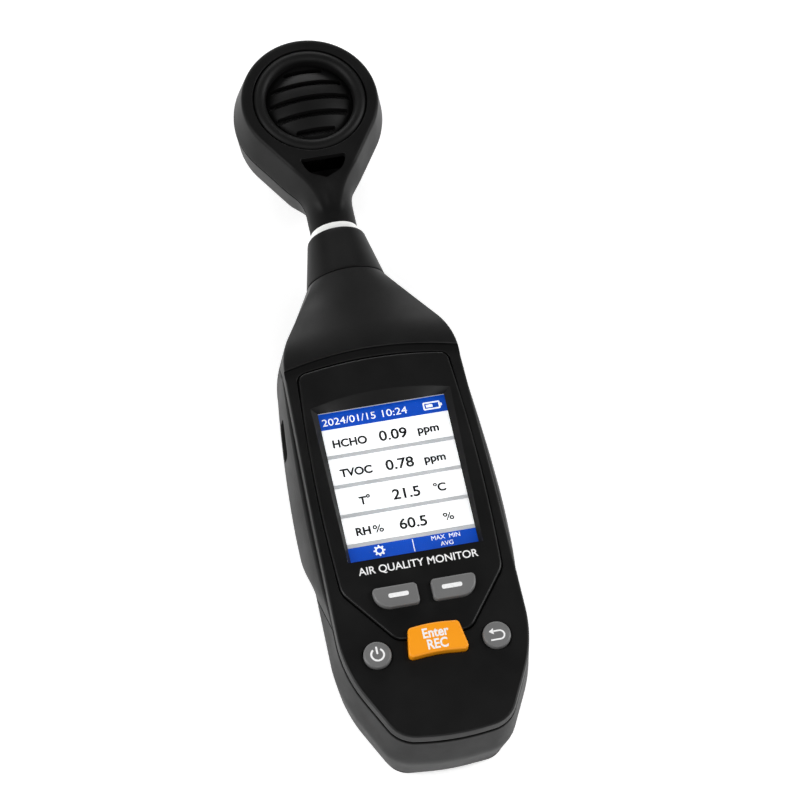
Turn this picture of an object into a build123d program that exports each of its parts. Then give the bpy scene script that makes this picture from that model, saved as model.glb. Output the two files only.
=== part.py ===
from build123d import *
import math
import os

# Handheld air quality monitor with a plug-in sensor head, lying on its back.
# +Z comes out of the display, +Y points to the sensor head and +X is to the right.
# The origin is the centre of the underside of the whole instrument. Sizes are in mm.

# ---- driving dimensions --------------------------------------------------------------------
LENGTH = 216.0
FOOT_Y = -LENGTH / 2
FACE_Z = 30.0                 # flat front of the body
WIDEST_Z = 13.5               # level where the body is widest
BODY_HALF_WIDTH = 26.7        # at the foot end of the long sides
WAIST_HALF_WIDTH = 26.3       # half way along them
SHOULDER_HALF_WIDTH = 25.35   # where they meet the shoulder
WALL = 2.0
BACK_WALL = 3.2
PARTING_Z = 26.2              # seam between the two housings
SEAM_GAP = 0.3
AXIS_Z = 16.0                 # height of the neck's centre line

# body outline, lower end
TAPER_Y = -84.5
WAIST_Y = -40.0
FOOT_CORNER = (15.75, -106.7)
FOOT_CORNER_RADIUS = 9.0
TAPER_RADIUS = 55.0
FRONT_TAPER = 4.2
BACK_TAPER = 10.0
RIM_RADIUS = 0.7
BACK_RADIUS = 3.5

# shoulder, from the square body to the round collar
SHOULDER_Y = 1.0
SEAM_Y = 33.5
SEAM_RADIUS = 11.15
HOOD_RISE = 0.9
SHOULDER_ARC_Y = 2.4          # start of the round between the long sides and the slope
SHOULDER_ARC_RADIUS = 25.0
SHOULDER_SLOPE = 30.2
SHOULDER_STATIONS = [SHOULDER_Y, 5.5, 9.0, 12.0, 15.0, 24.0, SEAM_Y]

# display
SCREEN_WIDTH = 34.85
SCREEN_HEIGHT = 43.56
SCREEN_Y = -31.1
BEZEL_TOP_Z = 30.5
BEZEL_FLOOR_Z = 28.8
BEZEL_GAP = 0.3
LENS_THICKNESS = 1.4
LENS_BORDER = 1.8
BOARD_TOP_Z = 20.8
BOARD_THICKNESS = 1.6
BOARD_INSET = 4.5
BOARD_END_Y = 6.0
BOARD_POSTS = [(-13.0, -48.0), (13.0, -48.0), (-13.0, -84.0), (13.0, -84.0)]
MODULE_THICKNESS = 2.6
BEZEL_ROUND = 0.6
WINDOW_DROP = 0.9             # extra room below the screen
MOUTH_HALF_WIDTHS = (18.4, 19.3)    # recess round the screen, lower and upper end
MOUTH_TOP_Y = -8.2
MOUTH_ARCH = 2.45
BUZZER_Y = -97.0

# keys
KEY_TRAVEL = 0.8
KEY_GAP = 0.2
KEY_FLANGE = 0.9
KEY_STEM_Z = 25.9             # lower end of a key's stem at rest
SOFTKEY_X = (1.85, 14.1)
SOFTKEY_Y = (-69.3, -63.2)
SOFTKEY_SLANT = 0.6           # how much narrower the soft keys are at their lower edge
SOFTKEY_TOP_Z = 32.0
CORNER_ROUND = 1.1
OUTER_CORNER_ROUND = 4.4
KEY_EDGE_ROUND = 0.6
STEM_RADIUS = 1.6
DOME_KEY_RADIUS = 3.0         # rubber domes of the keypad under the stems
MEMBRANE = (40.0, 29.0, 0.8)  # width, length, thickness
MEMBRANE_Y = -74.5
ENTER_Y = (-84.4, -75.6)
ENTER_HALF_WIDTHS = (8.2, 6.7)
ENTER_ARCH = 0.35
ENTER_TOP_Z = 31.9
ROUND_KEY_X = 16.15
ROUND_KEY_Y = -81.6
ROUND_KEY_RADIUS = 3.75
ROUND_KEY_TOP_Z = 31.2

# grips on the two long sides
GRIP_HALF_WIDTH = 28.6
GRIP_BULGE_RADIUS = 26.3
GRIP_DEPTH = 1.2
GRIP_END_HALF_WIDTH = 26.2
GRIP_ARC_Y = (-70.0, -36.0, 2.0)
GRIP_CLEARANCE = 0.15
GRIP_SIDE = [(-71.0, 26.2), (3.5, 26.2), (10.0, 19.0), (6.0, 3.5), (-44.0, 3.5)]

# fasteners
CASE_SCREWS = [(-13.5, -97.0), (13.5, -97.0), (-17.5, -0.5), (17.5, -0.5)]
SCREW_RADIUS = 1.25
SCREW_HEAD_RADIUS = 2.3
SCREW_HEAD_HEIGHT = 1.7
BOSS_RADIUS = 3.0
BOSS_SPLIT_Z = 14.0
SCREW_SEAT_Z = 4.0             # underside of the screw heads
INSERT_RADIUS = 4.6
TRIPOD_Y = -20.0
TRIPOD_RADIUS = 3.175         # 1/4 inch thread
TRIPOD_LENGTH = 8.0
TRIPOD_BOSS_RADIUS = 6.5

# battery
DOOR_TOP_Y = -38.0
DOOR_THICKNESS = 1.8
DOOR_HALF_WIDTHS = (16.2, 17.0)
BAY = (35.0, 51.0)            # width, length
BAY_Y = -65.5
BAY_TOP_Z = 14.6
BAY_WALL = 1.2
BATTERY = (32.0, 47.0, 9.5)

# USB port in the left side
PORT_Y = -10.7
PORT_Z = 17.9
PORT_LENGTH = 11.6
PORT_HEIGHT = 5.0
PORT_ROUND = 1.6

# sensor module
HEAD_RADIUS = 21.0
HEAD_Y = LENGTH / 2 - HEAD_RADIUS
HEAD_HALF_DEPTH = 11.2
HEAD_TAPER = 10.0
HEAD_SEAM_GAP = 0.1
HEAD_SLOPE = 34.0             # angle of the head's straight flanks to the Y axis
NECK_RADIUS = 6.6
RING_Y = (48.4, 50.5)
RING_RADIUS = 6.65
COLLAR_TOP_RADIUS = 7.9
COLLAR_ROUND = 1.3
PLUG_RADIUS = 8.0
PLUG_CLEARANCE = 0.08
PLUG_START_Y = 20.0
PLUG_END_Y = 41.0
SOCKET_Y = 14.0
PIN_COUNT = 6
PIN_CIRCLE = 4.5
PIN_LENGTH = 10.0
TUBE_END_Y = 58.0
HEAD_ROOT_Y = 62.5            # where the neck becomes the flat teardrop
SENSOR_BOARD_Z = 12.0
TUBE_RADIUS = 3.9
GRILLE_RADIUS = 15.8
DOME_RADIUS = 20.0
DOME_EDGE = 12.3
DOME_TOP_Z = 28.2
DOME_WALL = 1.6
BEAD_Z = 25.85                # foot of the rounded bead round the dome
BEAD_RISE = 1.75
GRILLE_FLANGE_RADIUS = 17.2
SLOT_PITCH = 4.75
SLOT_HEIGHT = 1.8
SLOT_HALF_LENGTHS = [5.6, 10.1, 11.6, 10.1, 5.6]
INTAKE_Y = (63.4, 68.8)
INTAKE_HALF_WIDTH = 6.35
HEAD_SCREW_RADIUS = 16.9      # circle the three screws stand on
HEAD_SCREW_SIZE = 0.9
DUST_SCREEN_Z = 21.4
SENSOR_BOARD_RADIUS = 14.0
SENSOR_BOARD_THICKNESS = 1.2
GAS_SENSOR_RADIUS = 8.0
GAS_SENSOR_HEIGHT = 6.5

os.makedirs("parts", exist_ok=True)


def finish(part, name):
    """Labels one piece and writes it as its own file."""
    part.label = name
    export_step(part, f"parts/{name}.step")


def across(y):
    """Plane across the instrument at y: its own x is +X and its own y is +Z."""
    return Plane.XZ.offset(-y)


# ---- body form -----------------------------------------------------------------------------
def body_outline(top_y, inset):
    """Plan outline of the body at its widest level, from the foot up to top_y."""
    corner_x, corner_y = FOOT_CORNER
    with BuildSketch() as outline:
        with BuildLine():
            ThreePointArc((-corner_x, corner_y), (0, FOOT_Y), (corner_x, corner_y))
            Line((corner_x, corner_y), (BODY_HALF_WIDTH, TAPER_Y))
            side = ThreePointArc(
                (BODY_HALF_WIDTH, TAPER_Y), (WAIST_HALF_WIDTH, WAIST_Y), (SHOULDER_HALF_WIDTH, SHOULDER_Y)
            )
            Polyline(side @ 1, (SHOULDER_HALF_WIDTH, top_y), (-SHOULDER_HALF_WIDTH, top_y),
                     (-SHOULDER_HALF_WIDTH, SHOULDER_Y))
            ThreePointArc(
                (-SHOULDER_HALF_WIDTH, SHOULDER_Y), (-WAIST_HALF_WIDTH, WAIST_Y), (-BODY_HALF_WIDTH, TAPER_Y)
            )
            Line((-BODY_HALF_WIDTH, TAPER_Y), (-corner_x, corner_y))
        make_face()
        fillet(outline.vertices().group_by(Axis.Y)[0], FOOT_CORNER_RADIUS)
        fillet(outline.vertices().filter_by_position(Axis.Y, TAPER_Y - 1, TAPER_Y + 1), TAPER_RADIUS)
        if inset:
            offset(amount=-inset, mode=Mode.REPLACE)
    return outline.sketch


def hexagon_section(y, half_widths, levels, radii):
    """Six-sided section across the body; each list runs top, middle, bottom."""
    top, middle, bottom = half_widths
    high, mid, low = levels
    with BuildSketch(across(y)) as section:
        with BuildLine():
            Polyline(
                (-top, high), (top, high), (middle, mid), (bottom, low),
                (-bottom, low), (-middle, mid), (-top, high),
            )
        make_face()
        for radius, level in zip(radii, levels):
            corners = section.vertices().filter_by_position(Axis.Z, level - 0.01, level + 0.01)
            fillet(corners, radius)
    return section.sketch


def blend(start, end, share):
    return start + (end - start) * share


def shoulder_drop(y):
    """How far the widest line has moved inwards at y: an arc, then a straight slope."""
    slope = math.radians(SHOULDER_SLOPE)
    along = max(0, y - SHOULDER_ARC_Y)
    arc_length = SHOULDER_ARC_RADIUS * math.sin(slope)
    on_arc = min(along, arc_length)
    arc_drop = SHOULDER_ARC_RADIUS - math.sqrt(SHOULDER_ARC_RADIUS ** 2 - on_arc ** 2)
    return arc_drop + (along - on_arc) * math.tan(slope)


def shoulder(inset):
    """Loft from the body's six-sided section to the round collar seam."""
    end_radius = SEAM_RADIUS - inset
    front_shrink = (FACE_Z - WIDEST_Z) * math.tan(math.radians(FRONT_TAPER))
    back_shrink = WIDEST_Z * math.tan(math.radians(BACK_TAPER))
    floor = BACK_WALL if inset else 0
    start_widths = [SHOULDER_HALF_WIDTH - inset - s for s in (front_shrink, 0, back_shrink)]
    start_levels = [FACE_Z + HOOD_RISE - inset, WIDEST_Z, floor]
    start_radii = [RIM_RADIUS + 0.2, 4.0, BACK_RADIUS - 0.4]
    end_widths = [end_radius * f for f in (math.tan(math.pi / 6), 2 / math.sqrt(3), math.tan(math.pi / 6))]
    end_levels = [AXIS_Z + end_radius, AXIS_Z, AXIS_Z - end_radius]
    end_radii = [end_radius * 0.97] * 3
    with BuildPart() as form:
        for y in SHOULDER_STATIONS:
            share = shoulder_drop(y) / shoulder_drop(SEAM_Y)
            widths = [blend(a, b, share) for a, b in zip(start_widths, end_widths)]
            levels = [blend(a, b, share) for a, b in zip(start_levels, end_levels)]
            radii = [blend(a, b, share) for a, b in zip(start_radii, end_radii)]
            add(hexagon_section(y, widths, levels, radii))
        loft(ruled=True)
    return form.part


def body_form(inset):
    """Whole body as one solid, each face moved inwards by inset."""
    spare = 12
    floor = BACK_WALL if inset else 0
    with BuildPart() as form:
        with BuildSketch(Plane.XY.offset(WIDEST_Z)):
            add(body_outline(SHOULDER_Y + spare, inset))
        extrude(amount=FACE_Z - inset - WIDEST_Z, taper=FRONT_TAPER)
        with BuildSketch(Plane.XY.offset(WIDEST_Z)):
            add(body_outline(SHOULDER_Y + spare, inset))
        extrude(amount=WIDEST_Z - floor, dir=(0, 0, -1), taper=BACK_TAPER)
        if not inset:
            fillet(form.edges().group_by(Axis.Z)[-1], RIM_RADIUS)
            fillet(form.edges().group_by(Axis.Z)[0], BACK_RADIUS)
        split(bisect_by=across(SHOULDER_Y), keep=Keep.TOP)
        add(shoulder(inset))
        if not inset:
            with BuildSketch(Plane.XY.offset(FACE_Z)):
                add(hood_cut())
            extrude(amount=HOOD_RISE * 3, taper=-45, mode=Mode.SUBTRACT)
    return form.part


def hood_cut():
    """Area of the flat face, closed at its top by the arc of the hood's crease."""
    width = BODY_HALF_WIDTH + 4
    with BuildSketch() as area:
        with BuildLine():
            ThreePointArc((-width, 0.6), (0, 6.6), (width, 0.6))
            Polyline((width, 0.6), (width, FOOT_Y - 5), (-width, FOOT_Y - 5), (-width, 0.6))
        make_face()
    return area.sketch


def seam_region(lift):
    """Everything in front of the seam between the housings, moved up by lift."""
    reach = 80
    with BuildPart() as region:
        with BuildSketch(Plane.YZ.offset(-reach)):
            with BuildLine():
                Polyline(
                    (-150, PARTING_Z + lift),
                    (SHOULDER_Y + 3, PARTING_Z + lift),
                    (SHOULDER_Y + 12, AXIS_Z + lift),
                    (60, AXIS_Z + lift),
                    (60, 60),
                    (-150, 60),
                    (-150, PARTING_Z + lift),
                )
            make_face()
        extrude(amount=2 * reach)
    return region.part


def cut_box(low, high):
    """Plain box between two corners, used only as a cutting or keeping region."""
    size = [b - a for a, b in zip(low, high)]
    centre = [(a + b) / 2 for a, b in zip(low, high)]
    return Pos(*centre) * Box(*size)


# ---- outlines shared by several pieces -----------------------------------------------------
def bezel_outline(grow=0):
    """Shield-shaped outline of the display bezel, each edge moved outwards by grow."""
    top = (20.6 + grow, 2.3 + grow)
    waist = (22.5 + grow, -35)
    side = (21.9 + grow, -62.5 - grow / 2)
    foot = (10.05 + grow / 2, -78.3 - grow)
    with BuildSketch() as outline:
        with BuildLine():
            ThreePointArc((-top[0], top[1]), (0, top[1] + 1.9), top)
            ThreePointArc(top, waist, side)
            Polyline(side, foot, (-foot[0], foot[1]), (-side[0], side[1]))
            ThreePointArc((-side[0], side[1]), (-waist[0], waist[1]), (-top[0], top[1]))
        make_face()
        fillet(outline.vertices().group_by(Axis.Y)[0], 4 + grow)
        fillet(outline.vertices().group_by(Axis.Y)[-1], 2.5 + grow)
        fillet(outline.vertices().filter_by_position(Axis.Y, -63, -62), 6 + grow)
    return outline.sketch


def softkey_outline(side, grow=0):
    """Soft key with a large round on its outer lower corner; side is -1 or 1."""
    inner_x, outer_x = SOFTKEY_X
    low, high = SOFTKEY_Y
    with BuildSketch() as outline:
        with BuildLine():
            Polyline(
                (side * inner_x, low), (side * (outer_x - SOFTKEY_SLANT), low), (side * outer_x, high),
                (side * inner_x, high), (side * inner_x, low),
            )
        make_face()
        fillet(outline.vertices().group_by(Axis.Y)[-1], CORNER_ROUND)
        lower = outline.vertices().group_by(Axis.Y)[0].sort_by(lambda v: abs(v.X))
        fillet(lower[0], CORNER_ROUND)
        lower = outline.vertices().group_by(Axis.Y)[0].sort_by(lambda v: abs(v.X))
        fillet(lower[-1], OUTER_CORNER_ROUND)
        if grow:
            offset(amount=grow, mode=Mode.REPLACE)
    return outline.sketch


def enter_outline(grow=0):
    """Trapezoid with an arched top edge and a hollowed lower edge."""
    low, high = ENTER_Y[0] - grow, ENTER_Y[1] + grow
    wide, narrow = [half + grow for half in ENTER_HALF_WIDTHS]
    with BuildSketch() as outline:
        with BuildLine():
            ThreePointArc((-narrow, high - ENTER_ARCH), (0, high), (narrow, high - ENTER_ARCH))
            Line((narrow, high - ENTER_ARCH), (wide, low))
            ThreePointArc((wide, low), (0, low + ENTER_ARCH), (-wide, low))
            Line((-wide, low), (-narrow, high - ENTER_ARCH))
        make_face()
        fillet(outline.vertices(), CORNER_ROUND + grow)
    return outline.sketch


def round_key_outline(side, grow=0):
    with BuildSketch() as outline:
        with Locations((side * ROUND_KEY_X, ROUND_KEY_Y)):
            Circle(ROUND_KEY_RADIUS + grow)
    return outline.sketch


KEYS = {
    "softkey_left": (lambda grow: softkey_outline(-1, grow), SOFTKEY_TOP_Z),
    "softkey_right": (lambda grow: softkey_outline(1, grow), SOFTKEY_TOP_Z),
    "enter_key": (enter_outline, ENTER_TOP_Z),
    "power_key": (lambda grow: round_key_outline(-1, grow), ROUND_KEY_TOP_Z),
    "back_key": (lambda grow: round_key_outline(1, grow), ROUND_KEY_TOP_Z),
}


def key_centre(name):
    """Middle of a key in plan."""
    box = KEYS[name][0](0).bounding_box()
    return ((box.min.X + box.max.X) / 2, (box.min.Y + box.max.Y) / 2)


def key_holes():
    """Clearance holes for all the keys, through the bezel and the front wall."""
    with BuildPart() as holes:
        for outline, _ in KEYS.values():
            with BuildSketch(Plane.XY.offset(FACE_Z - WALL - 1)):
                add(outline(KEY_GAP))
        extrude(amount=8)
    return holes.part


# ---- grips ---------------------------------------------------------------------------------
def grip_bulge():
    """Barrel-shaped solid whose sides give both grips their curved outer faces."""
    axis_x = GRIP_HALF_WIDTH - GRIP_BULGE_RADIUS
    low_y, middle_y, high_y = GRIP_ARC_Y
    with BuildPart() as bulge:
        with BuildSketch(Plane.XY.offset(WIDEST_Z)):
            with BuildLine():
                arc = ThreePointArc(
                    (GRIP_END_HALF_WIDTH, low_y), (GRIP_HALF_WIDTH, middle_y), (GRIP_END_HALF_WIDTH, high_y)
                )
                Polyline(arc @ 1, (axis_x, high_y), (axis_x, low_y), arc @ 0)
            make_face()
        revolve(axis=Axis((axis_x, 0, WIDEST_Z), (0, 1, 0)))
        split(bisect_by=Plane.YZ.offset(20), keep=Keep.TOP)
        mirror(about=Plane.YZ)
    return bulge.part


def grip_region(grow):
    """Side-view shape of the grips, run right across the body."""
    with BuildPart() as region:
        with BuildSketch(Plane.YZ.offset(-40)):
            with BuildLine():
                Polyline(*GRIP_SIDE, GRIP_SIDE[0])
            make_face()
            offset(amount=grow, kind=Kind.INTERSECTION, mode=Mode.REPLACE)
        extrude(amount=80)
    return region.part


def port_hole():
    """Opening for the USB port through the left grip and wall."""
    with BuildPart() as hole:
        with BuildSketch(Plane.YZ.offset(-35)):
            with Locations((PORT_Y, PORT_Z)):
                RectangleRounded(PORT_LENGTH, PORT_HEIGHT, PORT_ROUND)
        extrude(amount=12.5)
    return hole.part


# ---- cutting tools -------------------------------------------------------------------------
def bezel_pocket():
    """Pocket for the bezel and its dark gap, and the window under it."""
    with BuildPart() as pocket:
        with BuildSketch(Plane.XY.offset(BEZEL_FLOOR_Z)):
            add(bezel_outline(BEZEL_GAP))
        extrude(amount=5)
        with BuildSketch(Plane.XY.offset(FACE_Z - WALL - 1)):
            with Locations((0, SCREEN_Y)):
                Rectangle(SCREEN_WIDTH + 2 * LENS_BORDER + 0.2, SCREEN_HEIGHT + 2 * LENS_BORDER + 0.2)
        extrude(amount=5)
    return pocket.part


def door_prism(grow, start_y):
    """Dovetail prism of the battery door, long enough to leave at the foot."""
    outer_x, inner_x = [half + grow for half in DOOR_HALF_WIDTHS]
    top_z = DOOR_THICKNESS + grow / 3
    with BuildPart() as prism:
        with BuildSketch(across(start_y + grow)):
            with BuildLine():
                Polyline(
                    (-outer_x, -1), (-outer_x, 0), (-inner_x, top_z),
                    (inner_x, top_z), (outer_x, 0), (outer_x, -1), (-outer_x, -1),
                )
            make_face()
        extrude(amount=start_y - FOOT_Y + 20)
    return prism.part


def screw_holes():
    """Head recess and clearance hole for every case screw, in the rear housing."""
    with BuildPart() as holes:
        with BuildSketch(Plane.XY.offset(-1)):
            with Locations(*CASE_SCREWS):
                Circle(SCREW_HEAD_RADIUS + 0.25)
        extrude(amount=1 + SCREW_SEAT_Z)
        with BuildSketch(Plane.XY):
            with Locations(*CASE_SCREWS):
                Circle(SCREW_RADIUS + 0.15)
        extrude(amount=BOSS_SPLIT_Z + 1)
    return holes.part


outer_form = body_form(0)
lip_form = body_form(GRIP_DEPTH)
inner_form = body_form(WALL)
above_seam = seam_region(SEAM_GAP / 2)
below_seam = cut_box((-60, -150, -20), (60, 60, 60)) - seam_region(-SEAM_GAP / 2)
lip_band = seam_region(-1.5) - seam_region(1.2)
lip_space = lip_form - seam_region(1.4)
shell_form = outer_form - inner_form

# ---- front housing -------------------------------------------------------------------------
with BuildPart() as front_housing:
    add(shell_form)
    add(above_seam, mode=Mode.INTERSECT)
    add(lip_space, mode=Mode.SUBTRACT)
    with BuildSketch(Plane.XY.offset(BOSS_SPLIT_Z)):
        with Locations(*CASE_SCREWS):
            Circle(BOSS_RADIUS)
    extrude(amount=FACE_Z - WALL + 0.5 - BOSS_SPLIT_Z)
    with BuildSketch(Plane.XY.offset(BOSS_SPLIT_Z)):
        with Locations(*CASE_SCREWS):
            Circle(SCREW_RADIUS + 0.01)
    extrude(amount=11.5, mode=Mode.SUBTRACT)
    add(bezel_pocket(), mode=Mode.SUBTRACT)
    add(key_holes(), mode=Mode.SUBTRACT)
finish(front_housing.part, "front_housing")

# ---- rear housing --------------------------------------------------------------------------
pocket_region = grip_region(GRIP_CLEARANCE) - lip_form
seam_lip = lip_band & (lip_form - inner_form)
with BuildPart() as rear_housing:
    add(shell_form)
    add(below_seam, mode=Mode.INTERSECT)
    add(seam_lip)
    add(pocket_region, mode=Mode.SUBTRACT)
    # battery bay: an upturned tray
    with BuildSketch(Plane.XY.offset(DOOR_THICKNESS)):
        with Locations((0, BAY_Y)):
            Rectangle(BAY[0] + 2 * BAY_WALL, BAY[1] + 2 * BAY_WALL)
    extrude(amount=BAY_TOP_Z + BAY_WALL - DOOR_THICKNESS)
    # screw bosses, board posts and the boss of the tripod insert
    with BuildSketch(Plane.XY.offset(BACK_WALL - 1)):
        with Locations(*CASE_SCREWS):
            Circle(BOSS_RADIUS + 0.2)
    extrude(amount=BOSS_SPLIT_Z - 0.05 - BACK_WALL + 1)
    with BuildSketch(Plane.XY.offset(BAY_TOP_Z + 0.5)):
        with Locations(*BOARD_POSTS):
            Circle(2)
    extrude(amount=BOARD_TOP_Z - BOARD_THICKNESS - BAY_TOP_Z - 0.5)
    with BuildSketch(Plane.XY.offset(BACK_WALL - 1)):
        with Locations((0, TRIPOD_Y)):
            Circle(TRIPOD_BOSS_RADIUS)
    extrude(amount=TRIPOD_LENGTH + 1.5 - BACK_WALL + 1)
    with BuildSketch(Plane.XY):
        with Locations((0, BAY_Y)):
            Rectangle(*BAY)
    extrude(amount=BAY_TOP_Z, mode=Mode.SUBTRACT)
    with BuildSketch(Plane.XY):
        with Locations((0, TRIPOD_Y)):
            Circle(INSERT_RADIUS)
    extrude(amount=TRIPOD_LENGTH, mode=Mode.SUBTRACT)
    add(door_prism(0.15, DOOR_TOP_Y), mode=Mode.SUBTRACT)
    add(screw_holes(), mode=Mode.SUBTRACT)
    add(port_hole(), mode=Mode.SUBTRACT)
finish(rear_housing.part, "rear_housing")

# ---- side grips ----------------------------------------------------------------------------
grip_form = ((outer_form + grip_bulge()) & grip_region(-GRIP_CLEARANCE / 2)) - lip_form - port_hole()
for name, x_range in (("grip_left", (-40, -10)), ("grip_right", (10, 40))):
    side_box = cut_box((x_range[0], -150, -20), (x_range[1], 60, 60))
    with BuildPart() as grip:
        add(grip_form)
        add(side_box, mode=Mode.INTERSECT)
    finish(grip.part, name)

# ---- display bezel -------------------------------------------------------------------------
with BuildPart() as display_bezel:
    with BuildSketch(Plane.XY.offset(BEZEL_FLOOR_Z)):
        add(bezel_outline())
    extrude(amount=BEZEL_TOP_Z - BEZEL_FLOOR_Z)
    fillet(display_bezel.edges().group_by(Axis.Z)[-1], BEZEL_ROUND)
    # recess that opens out from the screen to the front of the bezel
    low_y = SCREEN_Y - SCREEN_HEIGHT / 2 - WINDOW_DROP
    high_y = SCREEN_Y + SCREEN_HEIGHT / 2
    half = SCREEN_WIDTH / 2
    mouth_foot, mouth_top = MOUTH_HALF_WIDTHS
    mouth_high = MOUTH_TOP_Y
    with BuildSketch(Plane.XY.offset(BEZEL_FLOOR_Z)) as window:
        with BuildLine():
            Polyline((-half, high_y), (-half, low_y), (half, low_y), (half, high_y))
            ThreePointArc((half, high_y), (0, high_y + 0.05), (-half, high_y))
        make_face()
    with BuildSketch(Plane.XY.offset(BEZEL_TOP_Z)) as mouth:
        with BuildLine():
            Polyline(
                (-mouth_top, mouth_high), (-mouth_foot, low_y - 0.6),
                (mouth_foot, low_y - 0.6), (mouth_top, mouth_high),
            )
            ThreePointArc((mouth_top, mouth_high), (0, mouth_high + MOUTH_ARCH), (-mouth_top, mouth_high))
        make_face()
    loft(ruled=True, mode=Mode.SUBTRACT)
    add(key_holes(), mode=Mode.SUBTRACT)
finish(display_bezel.part, "display_bezel")

# ---- display stack -------------------------------------------------------------------------
lens_bottom_z = BEZEL_FLOOR_Z - LENS_THICKNESS
module_top_z = lens_bottom_z - 0.2
module_size = (SCREEN_WIDTH + 6.2, SCREEN_HEIGHT + 6.4)
with BuildPart() as display_lens:
    with BuildSketch(Plane.XY.offset(lens_bottom_z)):
        with Locations((0, SCREEN_Y)):
            RectangleRounded(SCREEN_WIDTH + 2 * LENS_BORDER, SCREEN_HEIGHT + 2 * LENS_BORDER, 1)
    extrude(amount=LENS_THICKNESS)
finish(display_lens.part, "display_lens")

with BuildPart() as display_module:
    with BuildSketch(Plane.XY.offset(module_top_z - MODULE_THICKNESS)):
        with Locations((0, SCREEN_Y)):
            RectangleRounded(*module_size, 1)
    extrude(amount=MODULE_THICKNESS)
    with BuildSketch(Plane.XY.offset(module_top_z)):
        with Locations((0, SCREEN_Y)):
            Rectangle(SCREEN_WIDTH + 1, SCREEN_HEIGHT + 1)
    extrude(amount=-0.2, mode=Mode.SUBTRACT)
finish(display_module.part, "display_module")

with BuildPart() as display_frame:
    with BuildSketch(Plane.XY.offset(BOARD_TOP_Z)):
        with Locations((0, SCREEN_Y)):
            RectangleRounded(*module_size, 1)
            Rectangle(module_size[0] - 3, module_size[1] - 3, mode=Mode.SUBTRACT)
    extrude(amount=module_top_z - MODULE_THICKNESS - BOARD_TOP_Z)
finish(display_frame.part, "display_frame")

# ---- circuit board, keypad and keys ---------------------------------------------------------
with BuildPart() as main_board:
    with BuildSketch(Plane.XY.offset(BOARD_TOP_Z - BOARD_THICKNESS)):
        add(body_outline(BOARD_END_Y, BOARD_INSET))
        with Locations(*CASE_SCREWS):
            Circle(BOSS_RADIUS + 0.3, mode=Mode.SUBTRACT)
    extrude(amount=BOARD_THICKNESS)
finish(main_board.part, "main_board")

with BuildPart() as keypad_membrane:
    with BuildSketch(Plane.XY.offset(BOARD_TOP_Z)):
        with Locations((0, MEMBRANE_Y)):
            RectangleRounded(MEMBRANE[0], MEMBRANE[1], 2)
    extrude(amount=MEMBRANE[2])
    with BuildSketch(Plane.XY.offset(BOARD_TOP_Z + MEMBRANE[2])):
        with Locations(*[key_centre(name) for name in KEYS]):
            Circle(DOME_KEY_RADIUS)
    extrude(amount=KEY_STEM_Z - KEY_TRAVEL - 0.2 - BOARD_TOP_Z - MEMBRANE[2], taper=12)
finish(keypad_membrane.part, "keypad_membrane")

flange_top_z = FACE_Z - WALL - 0.1
for name, (outline, top_z) in KEYS.items():
    with BuildPart() as key:
        with BuildSketch(Plane.XY.offset(flange_top_z)):
            add(outline(0))
        extrude(amount=top_z - flange_top_z)
        fillet(key.edges().group_by(Axis.Z)[-1], KEY_EDGE_ROUND)
        with BuildSketch(Plane.XY.offset(flange_top_z)):
            add(outline(KEY_FLANGE))
        extrude(amount=-1.2)
        with BuildSketch(Plane.XY.offset(KEY_STEM_Z)):
            with Locations(key_centre(name)):
                Circle(STEM_RADIUS)
        extrude(amount=flange_top_z - 1 - KEY_STEM_Z)
    finish(key.part, name)

# ---- battery -------------------------------------------------------------------------------
with BuildPart() as battery_door:
    add(door_prism(0, DOOR_TOP_Y))
    add(outer_form, mode=Mode.INTERSECT)
    with BuildSketch(Plane.XY):
        with Locations((0, DOOR_TOP_Y - 9)):
            with GridLocations(0, 2, 1, 5):
                SlotOverall(16, 1)
    extrude(amount=0.5, mode=Mode.SUBTRACT)
finish(battery_door.part, "battery_door")

battery_width, battery_length, battery_height = BATTERY
with BuildPart() as battery_pack:
    with BuildSketch(Plane.XY.offset(BAY_TOP_Z - 0.3 - battery_height)):
        with Locations((0, BAY_Y - 1)):
            Rectangle(battery_width, battery_length)
    extrude(amount=battery_height)
    fillet(battery_pack.edges().filter_by(Axis.Y), 2)
finish(battery_pack.part, "battery_pack")

with BuildPart() as battery_contacts:
    with BuildSketch(Plane.XY.offset(BAY_TOP_Z - 8)):
        with Locations((0, BAY_Y + BAY[1] / 2 - 0.6)):
            Rectangle(14, 1.2)
    extrude(amount=7.5)
    with BuildSketch(Plane.XY.offset(BAY_TOP_Z - 6)):
        with Locations((0, BAY_Y + BAY[1] / 2 - 1.4)):
            with GridLocations(4, 0, 3, 1):
                Rectangle(1.6, 0.6)
    extrude(amount=4)
finish(battery_contacts.part, "battery_contacts")

# ---- fasteners and small pieces of the body --------------------------------------------------
with BuildPart() as case_screws:
    with BuildSketch(Plane.XY.offset(SCREW_SEAT_Z)):
        with Locations(*CASE_SCREWS):
            Circle(SCREW_RADIUS)
    extrude(amount=20)
    with BuildSketch(Plane.XY.offset(SCREW_SEAT_Z)):
        with Locations(*CASE_SCREWS):
            Circle(SCREW_HEAD_RADIUS)
    extrude(amount=-SCREW_HEAD_HEIGHT)
    with BuildSketch(Plane.XY.offset(SCREW_SEAT_Z - SCREW_HEAD_HEIGHT)):
        with Locations(*CASE_SCREWS):
            Rectangle(2.6, 0.6)
            Rectangle(0.6, 2.6)
    extrude(amount=0.9, mode=Mode.SUBTRACT)
finish(case_screws.part, "case_screws")

with BuildPart() as tripod_insert:
    with BuildSketch(Plane.XY):
        with Locations((0, TRIPOD_Y)):
            Circle(INSERT_RADIUS)
            Circle(TRIPOD_RADIUS, mode=Mode.SUBTRACT)
    extrude(amount=TRIPOD_LENGTH)
finish(tripod_insert.part, "tripod_insert")

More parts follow.
